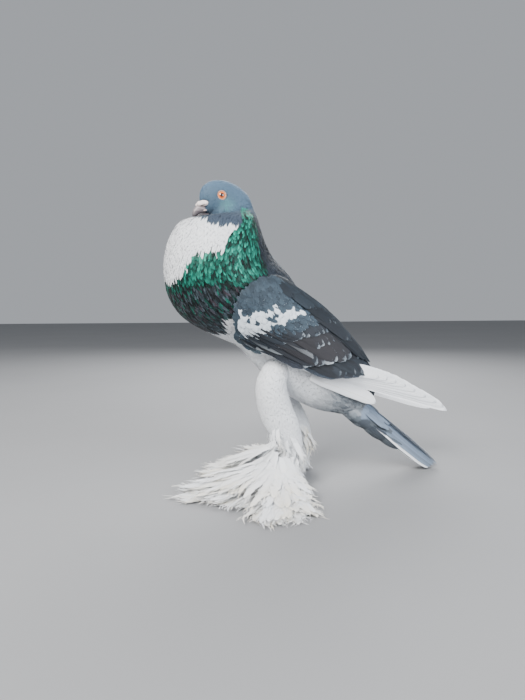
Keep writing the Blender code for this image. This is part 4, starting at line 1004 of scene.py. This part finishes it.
def plumes(name, starts, bends, ends, outs, half, cream, rows=22, fray=0.22, notch=0.35, lean=0.05, curl=2.0,
           loose=9, outline="plume"):
    """Long soft feathers of the legs and feet, and the loose barbs that fringe them."""
    starts, bends, ends, outs = (np.array(v, float) for v in (starts, bends, ends, outs))
    count = len(starts)
    half = spread(half, count) * random.uniform(0.75, 1.2, count)
    root = SNOW * random.uniform(0.96, 1.0, (count, 1))
    tip = mixed(root, CREAM, np.clip(random.normal(cream, 0.25, count), 0, 1))
    swing = np.stack([random.normal(0, curl, count), np.abs(random.normal(0, curl * 0.3, count))], -1)
    lean = random.normal(0, lean, count)
    vanes = feathers(name, starts, bends, ends, outs, half, (root, tip), outline, rows, True, thick=0.18,
                     cup=0.03, lean=lean, fray=fray, notch=notch, split=0.15, turn=2.5, curl=swing)
    # Barbs along both edges of the outer half of each feather
    which = np.repeat(np.arange(count), loose)
    total = len(which)
    t = 1 - 0.5 * random.random((total, 1)) ** 1.5
    centre, ahead = bent(starts[which], bends[which], ends[which], t)
    across = unit(np.cross(outs[which], ahead))
    up = np.cross(ahead, across)
    centre = swung(centre, across, up, t, swing[which])
    side = random.choice((-1.0, 1.0), (total, 1))
    edge = np.interp(t, *np.array(OUTLINES[outline]).T) * half[which, None]
    foot = centre + across * side * edge * 0.5
    spreading = random.uniform(0.15, 0.8, (total, 1))
    way = ahead * np.cos(spreading) + across * side * np.sin(spreading)
    long = random.uniform(4, 10, (total, 1)) * (1 + 0.3 * (half[which, None] > 5))
    end = foot + way * long + up * random.uniform(-1.0, 1.6, (total, 1))
    bend = (foot + end) / 2 + across * side * 0.8 + up * 0.4
    for places in (foot, bend, end):
        places[:, 2] = np.maximum(places[:, 2], BARB_GAP)
    twist = np.stack([random.normal(0, 1.6, total), random.normal(0, 0.8, total)], -1)
    shade = mixed(root[which], tip[which], t[:, 0] ** 2)
    thin = random.uniform(0.25, 0.5, total)
    barbs = feathers(name + "_barbs", foot, bend, end, up, thin, (shade, shade), "hackle", 7, thick=0.12,
                     cup=0.02, fray=0.1, curl=twist)
    return vanes, barbs


# Tufts round the hock: how many, half the angle that they cover, 1 behind or -1 before, roots
# as a share of the way to the knee, their reach, the same two for the tips, fall and bulge
HOCK_TUFTS = ((11, 66, 1, 0.34, 9, 0.0, 20, 18, 5), (9, 60, 1, 0.62, 12, 0.20, 16, 8, 4),
              (7, 44, -1, 0.69, 10, 0.10, 29, 0, 4), (8, 60, -1, 0.50, 10, 0.0, 17, 8, 3))
# Heights of the rows of feathers down the shank, as shares of the way from sole to hock
SHANK_ROWS = (1.34, 1.22, 1.1, 0.98, 0.86, 0.74, 0.62, 0.5, 0.38)


def make_hock(leg, stained):
    """Longer loose feathers that hang behind the hock and before the shank."""
    hock = spot(*leg["hock"])
    knee = spot(*leg["knee"])
    starts, bends, ends, outs = [], [], [], []
    for count, width, behind, root, reach, tip, tip_reach, fall, bulge in HOCK_TUFTS:
        for n in range(count):
            turn = math.radians(width * (2 * n / (count - 1) - 1) + random.uniform(-4, 4))
            out = np.array((math.sin(turn), math.cos(turn) * behind, 0))
            start = hock + (knee - hock) * (root + 0.1 * random.random()) + out * (reach - 6)
            end = hock + (knee - hock) * tip + out * tip_reach * random.uniform(0.75, 1.05)
            end = end - (0, 0, fall + 6 * random.random())
            starts.append(start)
            ends.append(end)
            bends.append((start + end) / 2 + out * bulge * random.uniform(0.7, 1.2))
            outs.append(out)
    return plumes("hock", starts, bends, ends, outs, 3.8, 0.9 if stained else 0.1, 16, fray=0.12, notch=0.1,
                  outline="wisp")


def make_shank_coat(leg):
    """Feathers that run down the shank and flare over the foot."""
    hock = spot(*leg["hock"])
    sole = spot(*leg["sole"])
    side = leg["side"]
    starts, bends, ends, outs = [], [], [], []
    around = 28
    for level, height in enumerate(SHANK_ROWS):
        for n in range(around):
            turn = math.radians(360 * (n + 0.5 * level) / around + random.uniform(-5, 5))
            out = np.array((math.cos(turn), math.sin(turn), 0))
            forward = max(0.0, -out[1])
            aside = max(0.0, out[0] * side)
            start = sole + (hock - sole) * height + out * (7 + 2 * forward - 6 * max(0.0, height - 0.7) / 0.4)
            reach = 5 + 13 * forward + 8 * aside + 4 * random.random() + 5 * (1 - height)
            end = start + out * reach * random.uniform(0.7, 1.1) - (0, 0, 25 + 12 * random.random())
            end[2] = max(end[2], 3.0 + 2 * random.random())
            starts.append(start)
            bends.append(start * 0.5 + end * 0.5 + out * (-1.0 - 1.5 * forward))
            ends.append(end)
            outs.append(out + (0, 0, 0.3))
    return plumes("shankcoat", starts, bends, ends, outs, 3.4, 0.12, 12, fray=0.12, notch=0.1, curl=1.5,
                  loose=5, outline="wisp")


# Fans of foot feathers: name, where they root beside and ahead of the sole, and the tiers: how
# many, first and last direction, length of the first and the last, heights of root, bend and
# tip, half width
MUFFS = (
    ("front", (2, 15), (
        (10, -8, 16, 127, 112, 6, 3, 1.2, 7.0), (10, 4, 42, 112, 76, 9, 5, 1.5, 7.0),
        (8, 30, 62, 84, 64, 9, 6, 1.5, 7.0), (10, -10, 28, 118, 88, 14, 11, 6, 7.0),
        (10, -10, 34, 108, 76, 20, 17, 11, 6.5), (9, -12, 38, 92, 66, 27, 24, 14, 6.5),
        (9, -14, 44, 74, 56, 34, 28, 13, 6.0), (9, -16, 50, 56, 46, 41, 30, 12, 5.5),
        (8, -20, 56, 40, 34, 47, 33, 14, 5.0), (12, -14, 46, 124, 84, 7, 6, 4, 1.6))),
    ("side", (13, -1), (
        (10, 70, 102, 118, 92, 6, 3, 1.2, 7.5), (10, 56, 110, 98, 70, 10, 6, 2, 7.0),
        (9, 66, 100, 108, 86, 14, 11, 5, 7.0), (9, 56, 108, 90, 68, 20, 17, 9, 6.5),
        (9, 46, 114, 74, 56, 27, 23, 12, 6.0), (9, 36, 120, 58, 46, 34, 28, 12, 5.5),
        (9, 26, 130, 44, 38, 41, 30, 12, 5.0), (11, 58, 112, 116, 74, 7, 6, 4, 1.6))),
)


def make_muff(leg, core, tiers):
    """A fan of long frayed foot feathers, from the lowest tier to the highest."""
    side = leg["side"]
    sole = spot(*leg["sole"])
    out, ahead = core
    starts, bends, ends, outs, halves = [], [], [], [], []
    for count, first, last, long, short, low, bend_z, tip_z, half in tiers:
        for n in range(count):
            share = n / (count - 1)
            angle = math.radians(first + (last - first) * share + random.uniform(-2.5, 2.5))
            way = np.array((side * math.sin(angle), -math.cos(angle), 0))
            length = (long + (short - long) * share) * random.uniform(0.84, 1.02)
            back = min(1.0, (low - 6) / 30)
            start = sole + np.array((side * out, -ahead, 0)) * (1 - back) + way * (2 + 5 * back)
            start[2] = low
            end = sole + way * length
            end[2] = tip_z + random.uniform(-0.3, 1.4)
            bend = start * 0.5 + end * 0.5
            bend[2] = bend_z + random.uniform(-0.5, 1.0)
            starts.append(start)
            bends.append(bend)
            ends.append(end)
            outs.append(np.array((0, 0, 1.0)) + way * (0.1 + 0.6 * back))
            halves.append(half)
    return plumes("muff", starts, bends, ends, outs, halves, 0.3, curl=3.0, loose=14)


# Eyes and bill

EYE_RADIUS = 5.7
CORNEA_RADIUS = 3.6
CORNEA_RISE = 0.3
LID_OUT = 3.9
LID_RADIUS = 4.85
LID_THICK = 0.75


def ring_band(name, centre, axis, radius, thick, count=56, sides=10):
    """A closed ring about an axis."""
    axis = unit(np.array(axis, float))
    side = unit(np.cross(axis, (0, 0, 1.0)))
    up = np.cross(side, axis)
    b = 2 * np.pi * np.arange(sides) / sides
    rings = []
    for a in 2 * np.pi * np.arange(count) / count:
        ray = side * math.cos(a) + up * math.sin(a)
        rings.append(centre + ray * (radius + np.cos(b)[:, None] * thick) + axis * np.sin(b)[:, None] * thick)
    return mesh_from(name, np.array(rings), ring_faces(count, sides, closed=True))


def head_spot(x, h, z):
    """A place on the turned head: left, forward of its upright line, and up."""
    return turned(spot(x, h + HEAD_F, z), HEAD_YAW)


def make_eye(side, word):
    """An eyeball with pupil and iris, and the fleshy ring of its lids."""
    centre = head_spot(side * EYE_PLACE[0], EYE_PLACE[1], EYE_PLACE[2])
    look = unit(turned(np.array((side * EYE_LOOK[0], EYE_LOOK[1] - HEAD_F, EYE_LOOK[2])), HEAD_YAW)
                - turned(np.array((0, -HEAD_F, 0.0)), HEAD_YAW))
    deselect()
    bpy.ops.mesh.primitive_uv_sphere_add(segments=56, ring_count=36, radius=EYE_RADIUS * MM)
    ball = bpy.context.active_object
    turn = Vector(look).to_track_quat("Z", "Y").to_matrix().to_4x4()
    far = np.array([math.hypot(v.co.x, v.co.y) / MM if v.co.z > 0 else 9.0 for v in ball.data.vertices])
    for v in ball.data.vertices:
        if v.co.z > 0:
            rim = math.hypot(v.co.x, v.co.y) / MM
            v.co.z += CORNEA_RISE * MM * max(0.0, 1 - (rim / CORNEA_RADIUS) ** 2)
    ball.data.transform(Matrix.Translation(Vector(centre * MM + SHIFT)) @ turn)
    ball.data.shade_smooth()
    paint(ball, "far", np.repeat(far[:, None], 3, 1) / 10, np.ones(len(far)))
    ball.select_set(False)
    place_piece(ball, "eyeball_" + word, "eye", EYE_GLASS, "eye_" + word)
    lid = ring_band("lid_" + word, centre + look * LID_OUT, look, LID_RADIUS, LID_THICK)
    outward_faces(lid, WELD)
    place_piece(lid, "lid_" + word, "cere_skin", LID_SKIN)


def bill_half(name, spots, material, node):
    """One half of the bill, as rings along a course of (h, z, half width, half depth)."""
    across = head_spot(1.0, 0, 0) - head_spot(0.0, 0, 0)
    course = curve(np.array(spots, float), np.linspace(0, len(spots) - 1, 20))
    rings = tube_rings([(head_spot(0, h, z), w, d) for h, z, w, d in course], 32, across)
    thing = mesh_from(name, *loft(rings))
    outward_faces(thing, WELD)
    place_piece(thing, name, "beak_horn", material, node)


UPPER_BEAK = ((30, 327.2, 5.6, 4.9), (35.5, 326.4, 4.8, 4.9), (39.4, 323.4, 3.5, 4.1),
              (42.0, 319.3, 2.1, 2.5), (42.9, 315.8, 0.5, 0.7))
LOWER_BEAK = ((26, 320.6, 4.7, 2.4), (32, 319.6, 4.3, 2.1), (36.5, 318.5, 3.2, 1.7), (40.2, 317.0, 1.2, 0.9))
CERE_PLACE = (5.7, 33.2, 332.0)
CERE_RADII = (3.3, 6.6, 3.5)
CERE_SPLAY = 30
CERE_TILT = 8
CERE_BRIDGE = (0.0, 36.0, 332.6)
BRIDGE_RADII = (3.9, 2.7, 2.7)
GAPE_FOLD = (5.2, 30.6, 324.6)
GAPE_RADII = (1.0, 2.3, 0.9)
NOSTRIL = ((6.0, 36.4, 328.4), (8.6, 32.0, 330.6))
NOSTRIL_HEART = (3.0, 31.0, 330.5)
NOSTRIL_DEPTH = 0.9


def cere_turn(side):
    """The turn of one lobe of the cere, from its own axes to the bird's."""
    return (Matrix.Rotation(math.radians(HEAD_YAW), 3, "Z")
            @ Matrix.Rotation(math.radians(-side * CERE_SPLAY), 3, "Z")
            @ Matrix.Rotation(math.radians(CERE_TILT), 3, "X"))


def make_cere():
    """The two swollen lobes over the bill, with their slit nostrils, and the folds of the gape."""
    deselect()
    lobes = []
    for place, radii, side in ((CERE_PLACE, CERE_RADII, 1), (CERE_PLACE, CERE_RADII, -1),
                               (CERE_BRIDGE, BRIDGE_RADII, 0), (GAPE_FOLD, GAPE_RADII, 1),
                               (GAPE_FOLD, GAPE_RADII, -1)):
        bpy.ops.mesh.primitive_uv_sphere_add(segments=40, ring_count=28, radius=1.0)
        lobe = bpy.context.active_object
        for v in lobe.data.vertices:
            v.co *= 1 + 0.035 * math.sin(5 * v.co.y + 2 * v.co.z)
        centre = head_spot(place[0] * (side or 1), place[1], place[2])
        size = Matrix.Diagonal([r * MM for r in radii] + [1])
        lobe.data.transform(Matrix.Translation(Vector(centre * MM + SHIFT)) @ cere_turn(side).to_4x4() @ size)
        lobes.append(lobe)
    cere = join(lobes)
    reshape(cere, ("REMESH", {"mode": "VOXEL", "voxel_size": CERE_VOXEL}), ("SMOOTH", {"iterations": 4}))
    points = np.array([v.co for v in cere.data.vertices])
    places = (points - SHIFT) / MM
    slit = np.zeros(len(places))
    push = np.zeros_like(places)
    for side in (1, -1):
        first, last = (head_spot(side * x, h, z) for x, h, z in NOSTRIL)
        run = last - first
        share = np.clip((places - first) @ run / (run @ run), 0, 1)
        gap = np.linalg.norm(places - first - share[:, None] * run, axis=1)
        x, h, z = NOSTRIL_HEART
        inward = unit(head_spot(side * x, h, z) - (first + last) / 2)
        push += np.exp(-(gap / 0.62) ** 2)[:, None] * inward * NOSTRIL_DEPTH
        slit = np.maximum(slit, np.exp(-(gap / 0.7) ** 4))
    cere.data.vertices.foreach_set("co", (points + push * MM).astype(np.float32).ravel())
    low = np.clip((331.5 - places[:, 2]) / 3.5, 0, 1)
    colour = mixed(CERE_WHITE, CERE_PINK, low * 0.8)
    # Painted shade darkens the carved nostril slits
    paint(cere, "tint", mixed(colour, NOSTRIL_PAINTED_SHADE, slit * 0.92), np.zeros(len(places)))
    cere.data.shade_smooth()
    cere.select_set(False)
    place_piece(cere, "cere_lobes", "cere_skin", CERE_SKIN, "cere")


# Finishes

def opaque(colour):
    """A colour with full alpha, as colour sockets take it."""
    return tuple(colour) + (1.0,)


BLACK = (0, 0, 0, 1)
FULL_TURN = 6.2832


class Shader:
    """A material's nodes, linked one by one."""

    def __init__(self, name):
        self.material = bpy.data.materials.new(name)
        self.material.use_nodes = True
        self.nodes = self.material.node_tree.nodes
        self.links = self.material.node_tree.links
        self.surface = self.nodes["Principled BSDF"]

    def add(self, kind, inputs=None, **settings):
        """A node of a kind, with its inputs by name or number and its settings."""
        node = self.nodes.new(kind)
        for key, value in settings.items():
            setattr(node, key, value)
        for key, value in (inputs or {}).items():
            self.put(node.inputs[key], value)
        return node

    def put(self, socket, value):
        """Links a socket to another one, or gives it a value."""
        if isinstance(value, bpy.types.NodeSocket):
            self.links.new(value, socket)
        else:
            socket.default_value = value

    def reckon(self, operation, a, b=0.0, clamp=False):
        """The result of a sum with one or two values."""
        return self.add("ShaderNodeMath", {0: a, 1: b}, operation=operation, use_clamp=clamp).outputs[0]

    def plus(self, a, b):
        return self.reckon("ADD", a, b)

    def minus(self, a, b, clamp=False):
        return self.reckon("SUBTRACT", a, b, clamp)

    def times(self, a, b, clamp=False):
        return self.reckon("MULTIPLY", a, b, clamp)

    def mix(self, share, a, b, kind="MIX"):
        """Colour a with a share of colour b."""
        return self.add("ShaderNodeMix", {0: share, 6: a, 7: b}, data_type="RGBA", blend_type=kind).outputs[2]

    def fit(self, value, low, high, first=0.0, last=1.0):
        """A value from low to high, turned to one from first to last."""
        return self.add("ShaderNodeMapRange", {0: value, 1: low, 2: high, 3: first, 4: last}).outputs[0]

    def attribute(self, name):
        return self.add("ShaderNodeAttribute", attribute_name=name).outputs

    def place(self):
        return self.add("ShaderNodeTexCoord").outputs["Object"]

    def noise(self, vector, scale, detail=3.0, rough=0.55):
        return self.add("ShaderNodeTexNoise", {"Vector": vector, "Scale": scale, "Detail": detail,
                                               "Roughness": rough}).outputs["Fac"]

    def bump(self, strength, distance, height):
        return self.add("ShaderNodeBump", {"Strength": strength, "Distance": distance,
                                           "Height": height}).outputs[0]

    def ramp(self, value, *stops):
        """Colours along a value, given as (place, colour)."""
        node = self.add("ShaderNodeValToRGB", {"Fac": value})
        while len(node.color_ramp.elements) < len(stops):
            node.color_ramp.elements.new(0.5)
        for element, (where, colour) in zip(node.color_ramp.elements, stops):
            element.position = where
            element.color = opaque(colour)
        return node.outputs["Color"]

    def give(self, **values):
        """Values or links for the surface's sockets, by their names."""
        for key, value in values.items():
            self.put(self.surface.inputs[key.replace("_", " ")], value)


def plumage(name, barbs, slope, shaft=0.0, roughness=0.62, rims=False, white=False, edge=0.84,
            comb_depth=0.12):
    """Feather vanes: barbs that slope out from the shaft, a shaft line and a pale rim."""
    s = Shader(name)
    tint = s.attribute("tint")
    uv = s.add("ShaderNodeUVMap", uv_map="plume")
    across, along = s.add("ShaderNodeSeparateXYZ", {0: uv.outputs[0]}).outputs[:2]
    side = s.reckon("ABSOLUTE", s.minus(across, 0.5))
    where = s.place()
    patchy = s.noise(where, 260.0, 3.0)
    fine = s.noise(where, 1400.0, 2.0)
    run = s.minus(s.times(along, barbs), s.times(side, slope))
    run = s.plus(run, s.times(patchy, 1.2))
    comb = s.plus(s.times(s.reckon("SINE", s.times(run, FULL_TURN)), 0.5), 0.5)
    colour = tint["Color"]
    if rims:
        rim = s.attribute("rim")
        toward = s.reckon("POWER", s.times(side, 2.0), 4.0)
        toward = s.times(toward, s.reckon("POWER", along, 2.5))
        end = s.reckon("POWER", along, 7.0)
        ragged = s.plus(s.reckon("MAXIMUM", toward, end), s.times(s.minus(patchy, 0.5), 0.6))
        mask = s.fit(ragged, edge - 0.12, edge + 0.1)
        colour = s.mix(s.times(mask, rim["Alpha"], True), colour, rim["Color"])
    dull = s.mix(0.6, colour, BLACK)
    colour = s.mix(s.times(comb, comb_depth), colour, dull)
    colour = s.mix(s.times(s.minus(fine, 0.35, True), 0.12 if white else 0.35), colour, dull)
    if shaft:
        line = s.fit(side, 0.012, 0.03, shaft, 0.0)
        colour = s.mix(line, colour, opaque(dye(206, 202, 190) if white else dye(24, 27, 34)))
    bump = s.bump(0.3, 0.00015, s.plus(comb, s.times(fine, 0.6)))
    gloss = tint["Alpha"]
    s.give(Base_Color=colour, Normal=bump, Metallic=s.times(gloss, 0.45),
           Roughness=s.minus(s.plus(roughness, s.times(patchy, 0.14)), s.times(gloss, 0.25)),
           Sheen_Weight=0.2 if white else 0.03, Sheen_Roughness=0.5,
           Specular_IOR_Level=0.35 if white else 0.22, Subsurface_Weight=0.3,
           Subsurface_Radius=(1.0, 1.0, 1.0), Subsurface_Scale=0.0012)
    return s.material


def skin_finish():
    """Skin between the feathers, in the coat's own markings."""
    s = Shader("skin_under_down")
    tint = s.attribute("tint")["Color"]
    down = s.noise(s.place(), 900.0, 4.0)
    colour = s.mix(s.times(down, 0.35), tint, s.mix(0.5, tint, BLACK))
    s.give(Base_Color=colour, Normal=s.bump(0.5, 0.0004, down), Roughness=0.85)
    return s.material


def eye_finish():
    """Black pupil and orange iris, paler toward its rim, under a wet cornea."""
    s = Shader("eye_glass")
    far = s.attribute("far")["Fac"]
    streak = s.noise(s.place(), 1500.0, 4.0)
    value = s.plus(far, s.times(s.minus(streak, 0.5), 0.03))
    colour = s.ramp(value, (0.0, dye(10, 6, 5)), (0.185, dye(14, 7, 5)), (0.21, dye(120, 44, 24)),
                    (0.27, dye(206, 96, 34)), (0.35, dye(224, 122, 50)), (0.40, dye(222, 146, 92)),
                    (0.45, dye(120, 70, 54)), (0.5, dye(40, 28, 26)))
    s.give(Base_Color=colour, Roughness=0.18, IOR=1.45, Coat_Weight=1.0, Coat_Roughness=0.03)
    return s.material


def flesh_finish(name, pale, deep, scale, roughness, painted=False):
    """Bare skin, powdery and finely wrinkled, in its own colours or those painted on the piece."""
    s = Shader(name)
    where = s.place()
    cloud = s.noise(where, scale, 4.0)
    cells = s.add("ShaderNodeTexVoronoi", {"Vector": where, "Scale": scale * 2.2}, feature="DISTANCE_TO_EDGE")
    colour = s.mix(s.fit(cloud, 0.3, 0.7), opaque(deep), opaque(pale))
    if painted:
        colour = s.mix(1.0, s.attribute("tint")["Color"], colour, "MULTIPLY")
    bump = s.bump(0.5, 0.00025, s.plus(s.times(cells.outputs[0], 0.6), cloud))
    s.give(Base_Color=colour, Normal=bump, Roughness=s.plus(roughness, s.times(cloud, 0.15)))
    return s.material


def horn_finish(name, light, dark, scale, tip=None):
    """Horn, smooth and slightly streaked; tip gives the heights and the colour of painted shade that darkens
    the horn downward toward the mouth line.
    """
    s = Shader(name)
    where = s.place()
    stretched = s.add("ShaderNodeMapping", {"Vector": where, "Scale": (1.0, 0.35, 2.2)})
    streak = s.noise(stretched.outputs[0], scale, 4.0)
    colour = s.mix(s.fit(streak, 0.3, 0.72), opaque(dark), opaque(light))
    # Painted shade: the horn darkens from the first height down to the second
    if tip:
        high, low, end = tip
        height = s.add("ShaderNodeSeparateXYZ", {0: where}).outputs[2]
        colour = s.mix(s.fit(height, high, low, 0.0, 0.9), colour, opaque(end))
    s.give(Base_Color=colour, Normal=s.bump(0.25, 0.00015, streak),
           Roughness=s.plus(0.34, s.times(streak, 0.18)))
    return s.material


# Plumage by how many barbs show, their slope, strength of the shaft line and roughness
DOWN = skin_finish()
SMALL_PLUMAGE = plumage("small_plumage", 5.0, 3.0, 0.0, 0.6, comb_depth=0.1)
COVERT_SCALES = plumage("covert_scales", 12.0, 5.0, 0.0, 0.58, rims=True, edge=0.74)
WING_PLUMAGE = plumage("wing_plumage", 26.0, 9.0, 0.5, 0.55, rims=True, edge=0.86, comb_depth=0.2)
TAIL_PLUMAGE = plumage("tail_plumage", 60.0, 12.0, 0.7, 0.55, rims=True, edge=0.92, comb_depth=0.15)
FLIGHT_PLUMAGE = plumage("flight_plumage", 70.0, 12.0, 0.5, 0.6, rims=True, white=True, edge=0.98)
MUFF_PLUMAGE = plumage("muff_plumage", 40.0, 16.0, 0.35, 0.66, white=True)
COVERT_PLUMAGE = plumage("covert_plumage", 20.0, 8.0, 0.3, 0.6, rims=True)
EYE_GLASS = eye_finish()
LID_SKIN = flesh_finish("lid_skin", dye(178, 140, 120), dye(138, 106, 94), 900.0, 0.5)
CERE_SKIN = flesh_finish("cere_skin", dye(255, 253, 251), dye(222, 213, 210), 800.0, 0.8, True)
FOOT_SKIN = flesh_finish("foot_skin", dye(176, 66, 54), dye(120, 36, 34), 420.0, 0.5)
# The upper bill darkens toward its lower edge: painted shade at the mouth line
BILL_HORN = horn_finish("bill_horn", dye(146, 138, 140), dye(96, 88, 92), 300.0,
                        (0.3265, 0.3185, dye(44, 40, 44)))
# The lower bill's darker horn is painted shade under the upper bill
BILL_PAINTED_SHADE = horn_finish("bill_horn_painted_shade", dye(76, 70, 74), dye(44, 40, 44), 300.0)
CLAW_HORN = horn_finish("claw_horn", dye(196, 178, 160), dye(128, 108, 96), 300.0)


# Put together

skin = make_skin()

shield_u, shield_v = (g.ravel() for g in np.meshgrid(np.linspace(0.08, 0.9, 40), np.linspace(0.1, 1.0, 30)))
cover = near_tree(np.concatenate([wing(shield_u, shield_v, 0.0, side) for side in (1, -1)]))
hand_places = []
for n in range(60):
    base, along, across, _ = hand_frame(1 if n % 2 else -1)
    hand_places += [base + along * (10 + 3.2 * (n // 2)) + across * (1.5 * m - 4) for m in range(9)]
hands = near_tree(hand_places)
WING_CLEARANCE = 4.0
HAND_CLEARANCE = 5.0
EYE_CLEARANCE = 5.5
EYE_RIMS = [head_spot(side * (EYE_PLACE[0] + 3.9), EYE_PLACE[1] + 0.9, EYE_PLACE[2] + 0.2)
            for side in (1, -1)]
LOBES = [(head_spot(side * CERE_PLACE[0], CERE_PLACE[1], CERE_PLACE[2]), np.array(cere_turn(side)))
         for side in (1, -1)]


def clear_face(points):
    """Whether places lie clear of the eyes and the cere."""
    keep = np.ones(len(points), bool)
    for rim in EYE_RIMS:
        keep &= np.linalg.norm(points - rim, axis=-1) > EYE_CLEARANCE
    for centre, turn in LOBES:
        local = (points - centre) @ turn / (np.array(CERE_RADII) + 0.3)
        keep &= (local ** 2).sum(1) > 1
    return keep


def clear_of_hands(points):
    """Whether places lie clear of the flight feathers."""
    return np.array([hands.find(p)[2] > HAND_CLEARANCE for p in points])


def clear_of_wings(points):
    """Whether places lie clear of the wing shields."""
    return np.array([cover.find(p)[2] > WING_CLEARANCE for p in points])


coat("head_feathers", "head_feathers", "head", (0.1, 7.0), spacing=(1.02, 0.9, 4, 3),
     length=(3.3, 4.7, 3.5, 3.5), half=(0.72, 0.6, 4, 3), lifts=(-0.5, 0.1, 0.16), keep=clear_face,
     clear=clear_face, tries=130000, pieces=2, sway=4.0, rise=0.04)
coat("neck_feathers", "neck_feathers", "neck", (7.0, 9.2), spacing=(2.2, 0.2, 7, 2),
     length=(8.0, 5.0, 7, 2), half=(1.3,), lifts=(-0.9, 0.25, 0.45), outline="hackle", tries=60000,
     pieces=2, rows=6, sway=4.0, rise=0.18, turn=3.0)
coat("crop_feathers", "crop_feathers", "crop", (9.2, 14.6), spacing=(2.45,), length=(13.5,), half=(1.45,),
     lifts=(-1.0, 0.3, 0.55), outline="hackle", keep=clear_of_wings, tries=120000, pieces=4, rows=6,
     sway=4.5, turn=3.0)
coat("body_feathers", "belly_feathers", "torso", (14.6, BODY_END), spacing=(2.8,), length=(14.5, 7, 18),
     half=(2.1, 0.7, 18), lifts=(-1.0, 0.3, 0.55), keep=clear_of_wings, clear=clear_of_hands, tries=80000,
     pieces=2, rows=7)

for side, word in ((1, "left"), (-1, "right")):
    for n, row in enumerate(make_wing(side)):
        place_piece(row, "wing_row_%s_%d" % (word, n), "wing_feathers", WING_PLUMAGE if n else COVERT_SCALES,
                    "wing_" + word)
    place_piece(make_primaries(side), "flight_feathers_" + word, "white_flight_feathers", FLIGHT_PLUMAGE,
                "primaries_" + word)

for n, piece in enumerate(make_tail()):
    place_piece(piece, "tail_feathers_%d" % n, "tail_feathers",
                TAIL_PLUMAGE if piece.name.startswith("rectrix") else COVERT_PLUMAGE, "tail")

for word, leg in LEGS.items():
    place_piece(make_leg_coat(leg), "thigh_feathers_" + word, "leg_feathers", SMALL_PLUMAGE, "thigh_" + word)
    plumed = [("hock", "leg_feathers", make_hock(leg, word == "right"), "thigh_" + word, ""),
              ("shank", "leg_feathers", make_shank_coat(leg), "shank_" + word, "")]
    for part, core, tiers in MUFFS:
        plumed.append(("muff", "muff_feathers", make_muff(leg, core, tiers), "muff_%s_%s" % (part, word),
                       part + "_"))
    for kind, slot, (vanes, barbs), node, part in plumed:
        place_piece(vanes, "%s_feathers_%s%s" % (kind, part, word), slot, MUFF_PLUMAGE, node)
        place_piece(barbs, "%s_barbs_%s%s" % (kind, part, word), slot, MUFF_PLUMAGE, node)

settle_coat(skin)
place_piece(skin, "skin", "belly_feathers", DOWN, "head", "neck", "crop", "torso",
            "thigh_left", "thigh_right", "shank_left", "shank_right")
make_eye(1, "left")
make_eye(-1, "right")
bill_half("bill_upper", UPPER_BEAK, BILL_HORN, "upper_beak")
bill_half("bill_lower", LOWER_BEAK, BILL_PAINTED_SHADE, "lower_beak")
make_cere()

for name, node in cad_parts.items():
    if name.startswith(("foot_", "claw_")):
        node.data.materials.clear()
        node.data.materials.append(FOOT_SKIN if name.startswith("foot_") else CLAW_HORN)


# Floor, lights and camera, in metres

FLOOR_SIZE = 12.0
FLOOR_TINTS = (dye(122, 123, 125), dye(130, 131, 133))
ROOM_TINT = (0.80, 0.84, 0.90, 1)
ROOM_LIGHT = 0.5
AIM = (0, -0.02, 0.2)
# Name, place, size, watts and colour of each light
LIGHTS = (
    ("key", (1.1, -1.1, 1.3), 0.8, 88, (1.0, 0.98, 0.95)),
    ("fill", (1.2, 0.9, 0.7), 1.2, 44, (0.93, 0.96, 1.0)),
    ("back", (-1.2, 0.3, 1.1), 1.0, 36, (1.0, 1.0, 1.0)),
)
CAMERA_PLACE = (0.6007, -0.1559, 0.216)
CAMERA_TURN = 78
CAMERA_PITCH = -5
LENS = 25.97
SENSOR = 36.0


def area_light(name, place, size, watts, colour):
    """A square soft light that faces the bird."""
    light = bpy.data.lights.new(name, "AREA")
    light.size = size
    light.energy = watts
    light.color = colour
    thing = bpy.data.objects.new(name, light)
    bpy.context.scene.collection.objects.link(thing)
    thing.location = place
    thing.rotation_euler = (Vector(AIM) - Vector(place)).to_track_quat("-Z", "Y").to_euler()


def make_studio():
    """A pale floor, soft lights and the photograph's viewing angle."""
    deselect()
    bpy.ops.mesh.primitive_plane_add(size=FLOOR_SIZE, location=(0, 0, 0))
    floor = bpy.context.active_object
    floor.name = "floor"
    s = Shader("pale_floor")
    first, second = FLOOR_TINTS
    s.give(Base_Color=s.mix(s.noise(s.place(), 3.0, 3.0), opaque(first), opaque(second)), Roughness=0.8)
    floor.data.materials.append(s.material)
    world = bpy.context.scene.world or bpy.data.worlds.new("room")
    bpy.context.scene.world = world
    world.use_nodes = True
    world.node_tree.nodes["Background"].inputs[0].default_value = ROOM_TINT
    world.node_tree.nodes["Background"].inputs[1].default_value = ROOM_LIGHT
    for light in LIGHTS:
        area_light(*light)
    turn = math.radians(CAMERA_TURN)
    pitch = math.radians(CAMERA_PITCH)
    look = Vector((-math.sin(turn), math.cos(turn), 0))
    right = Vector((math.cos(turn), math.sin(turn), 0))
    ahead = look * math.cos(pitch) + Vector((0, 0, math.sin(pitch)))
    camera = bpy.data.cameras.new("camera")
    camera.sensor_fit = "VERTICAL"
    camera.sensor_height = SENSOR
    camera.lens = LENS
    camera.clip_start = 0.01
    thing = bpy.data.objects.new("camera", camera)
    bpy.context.scene.collection.objects.link(thing)
    stand = Matrix((right, right.cross(ahead), -ahead)).transposed().to_4x4()
    stand.translation = Vector(CAMERA_PLACE) + Vector(SHIFT)
    thing.matrix_world = stand
    bpy.context.scene.camera = thing


make_studio()
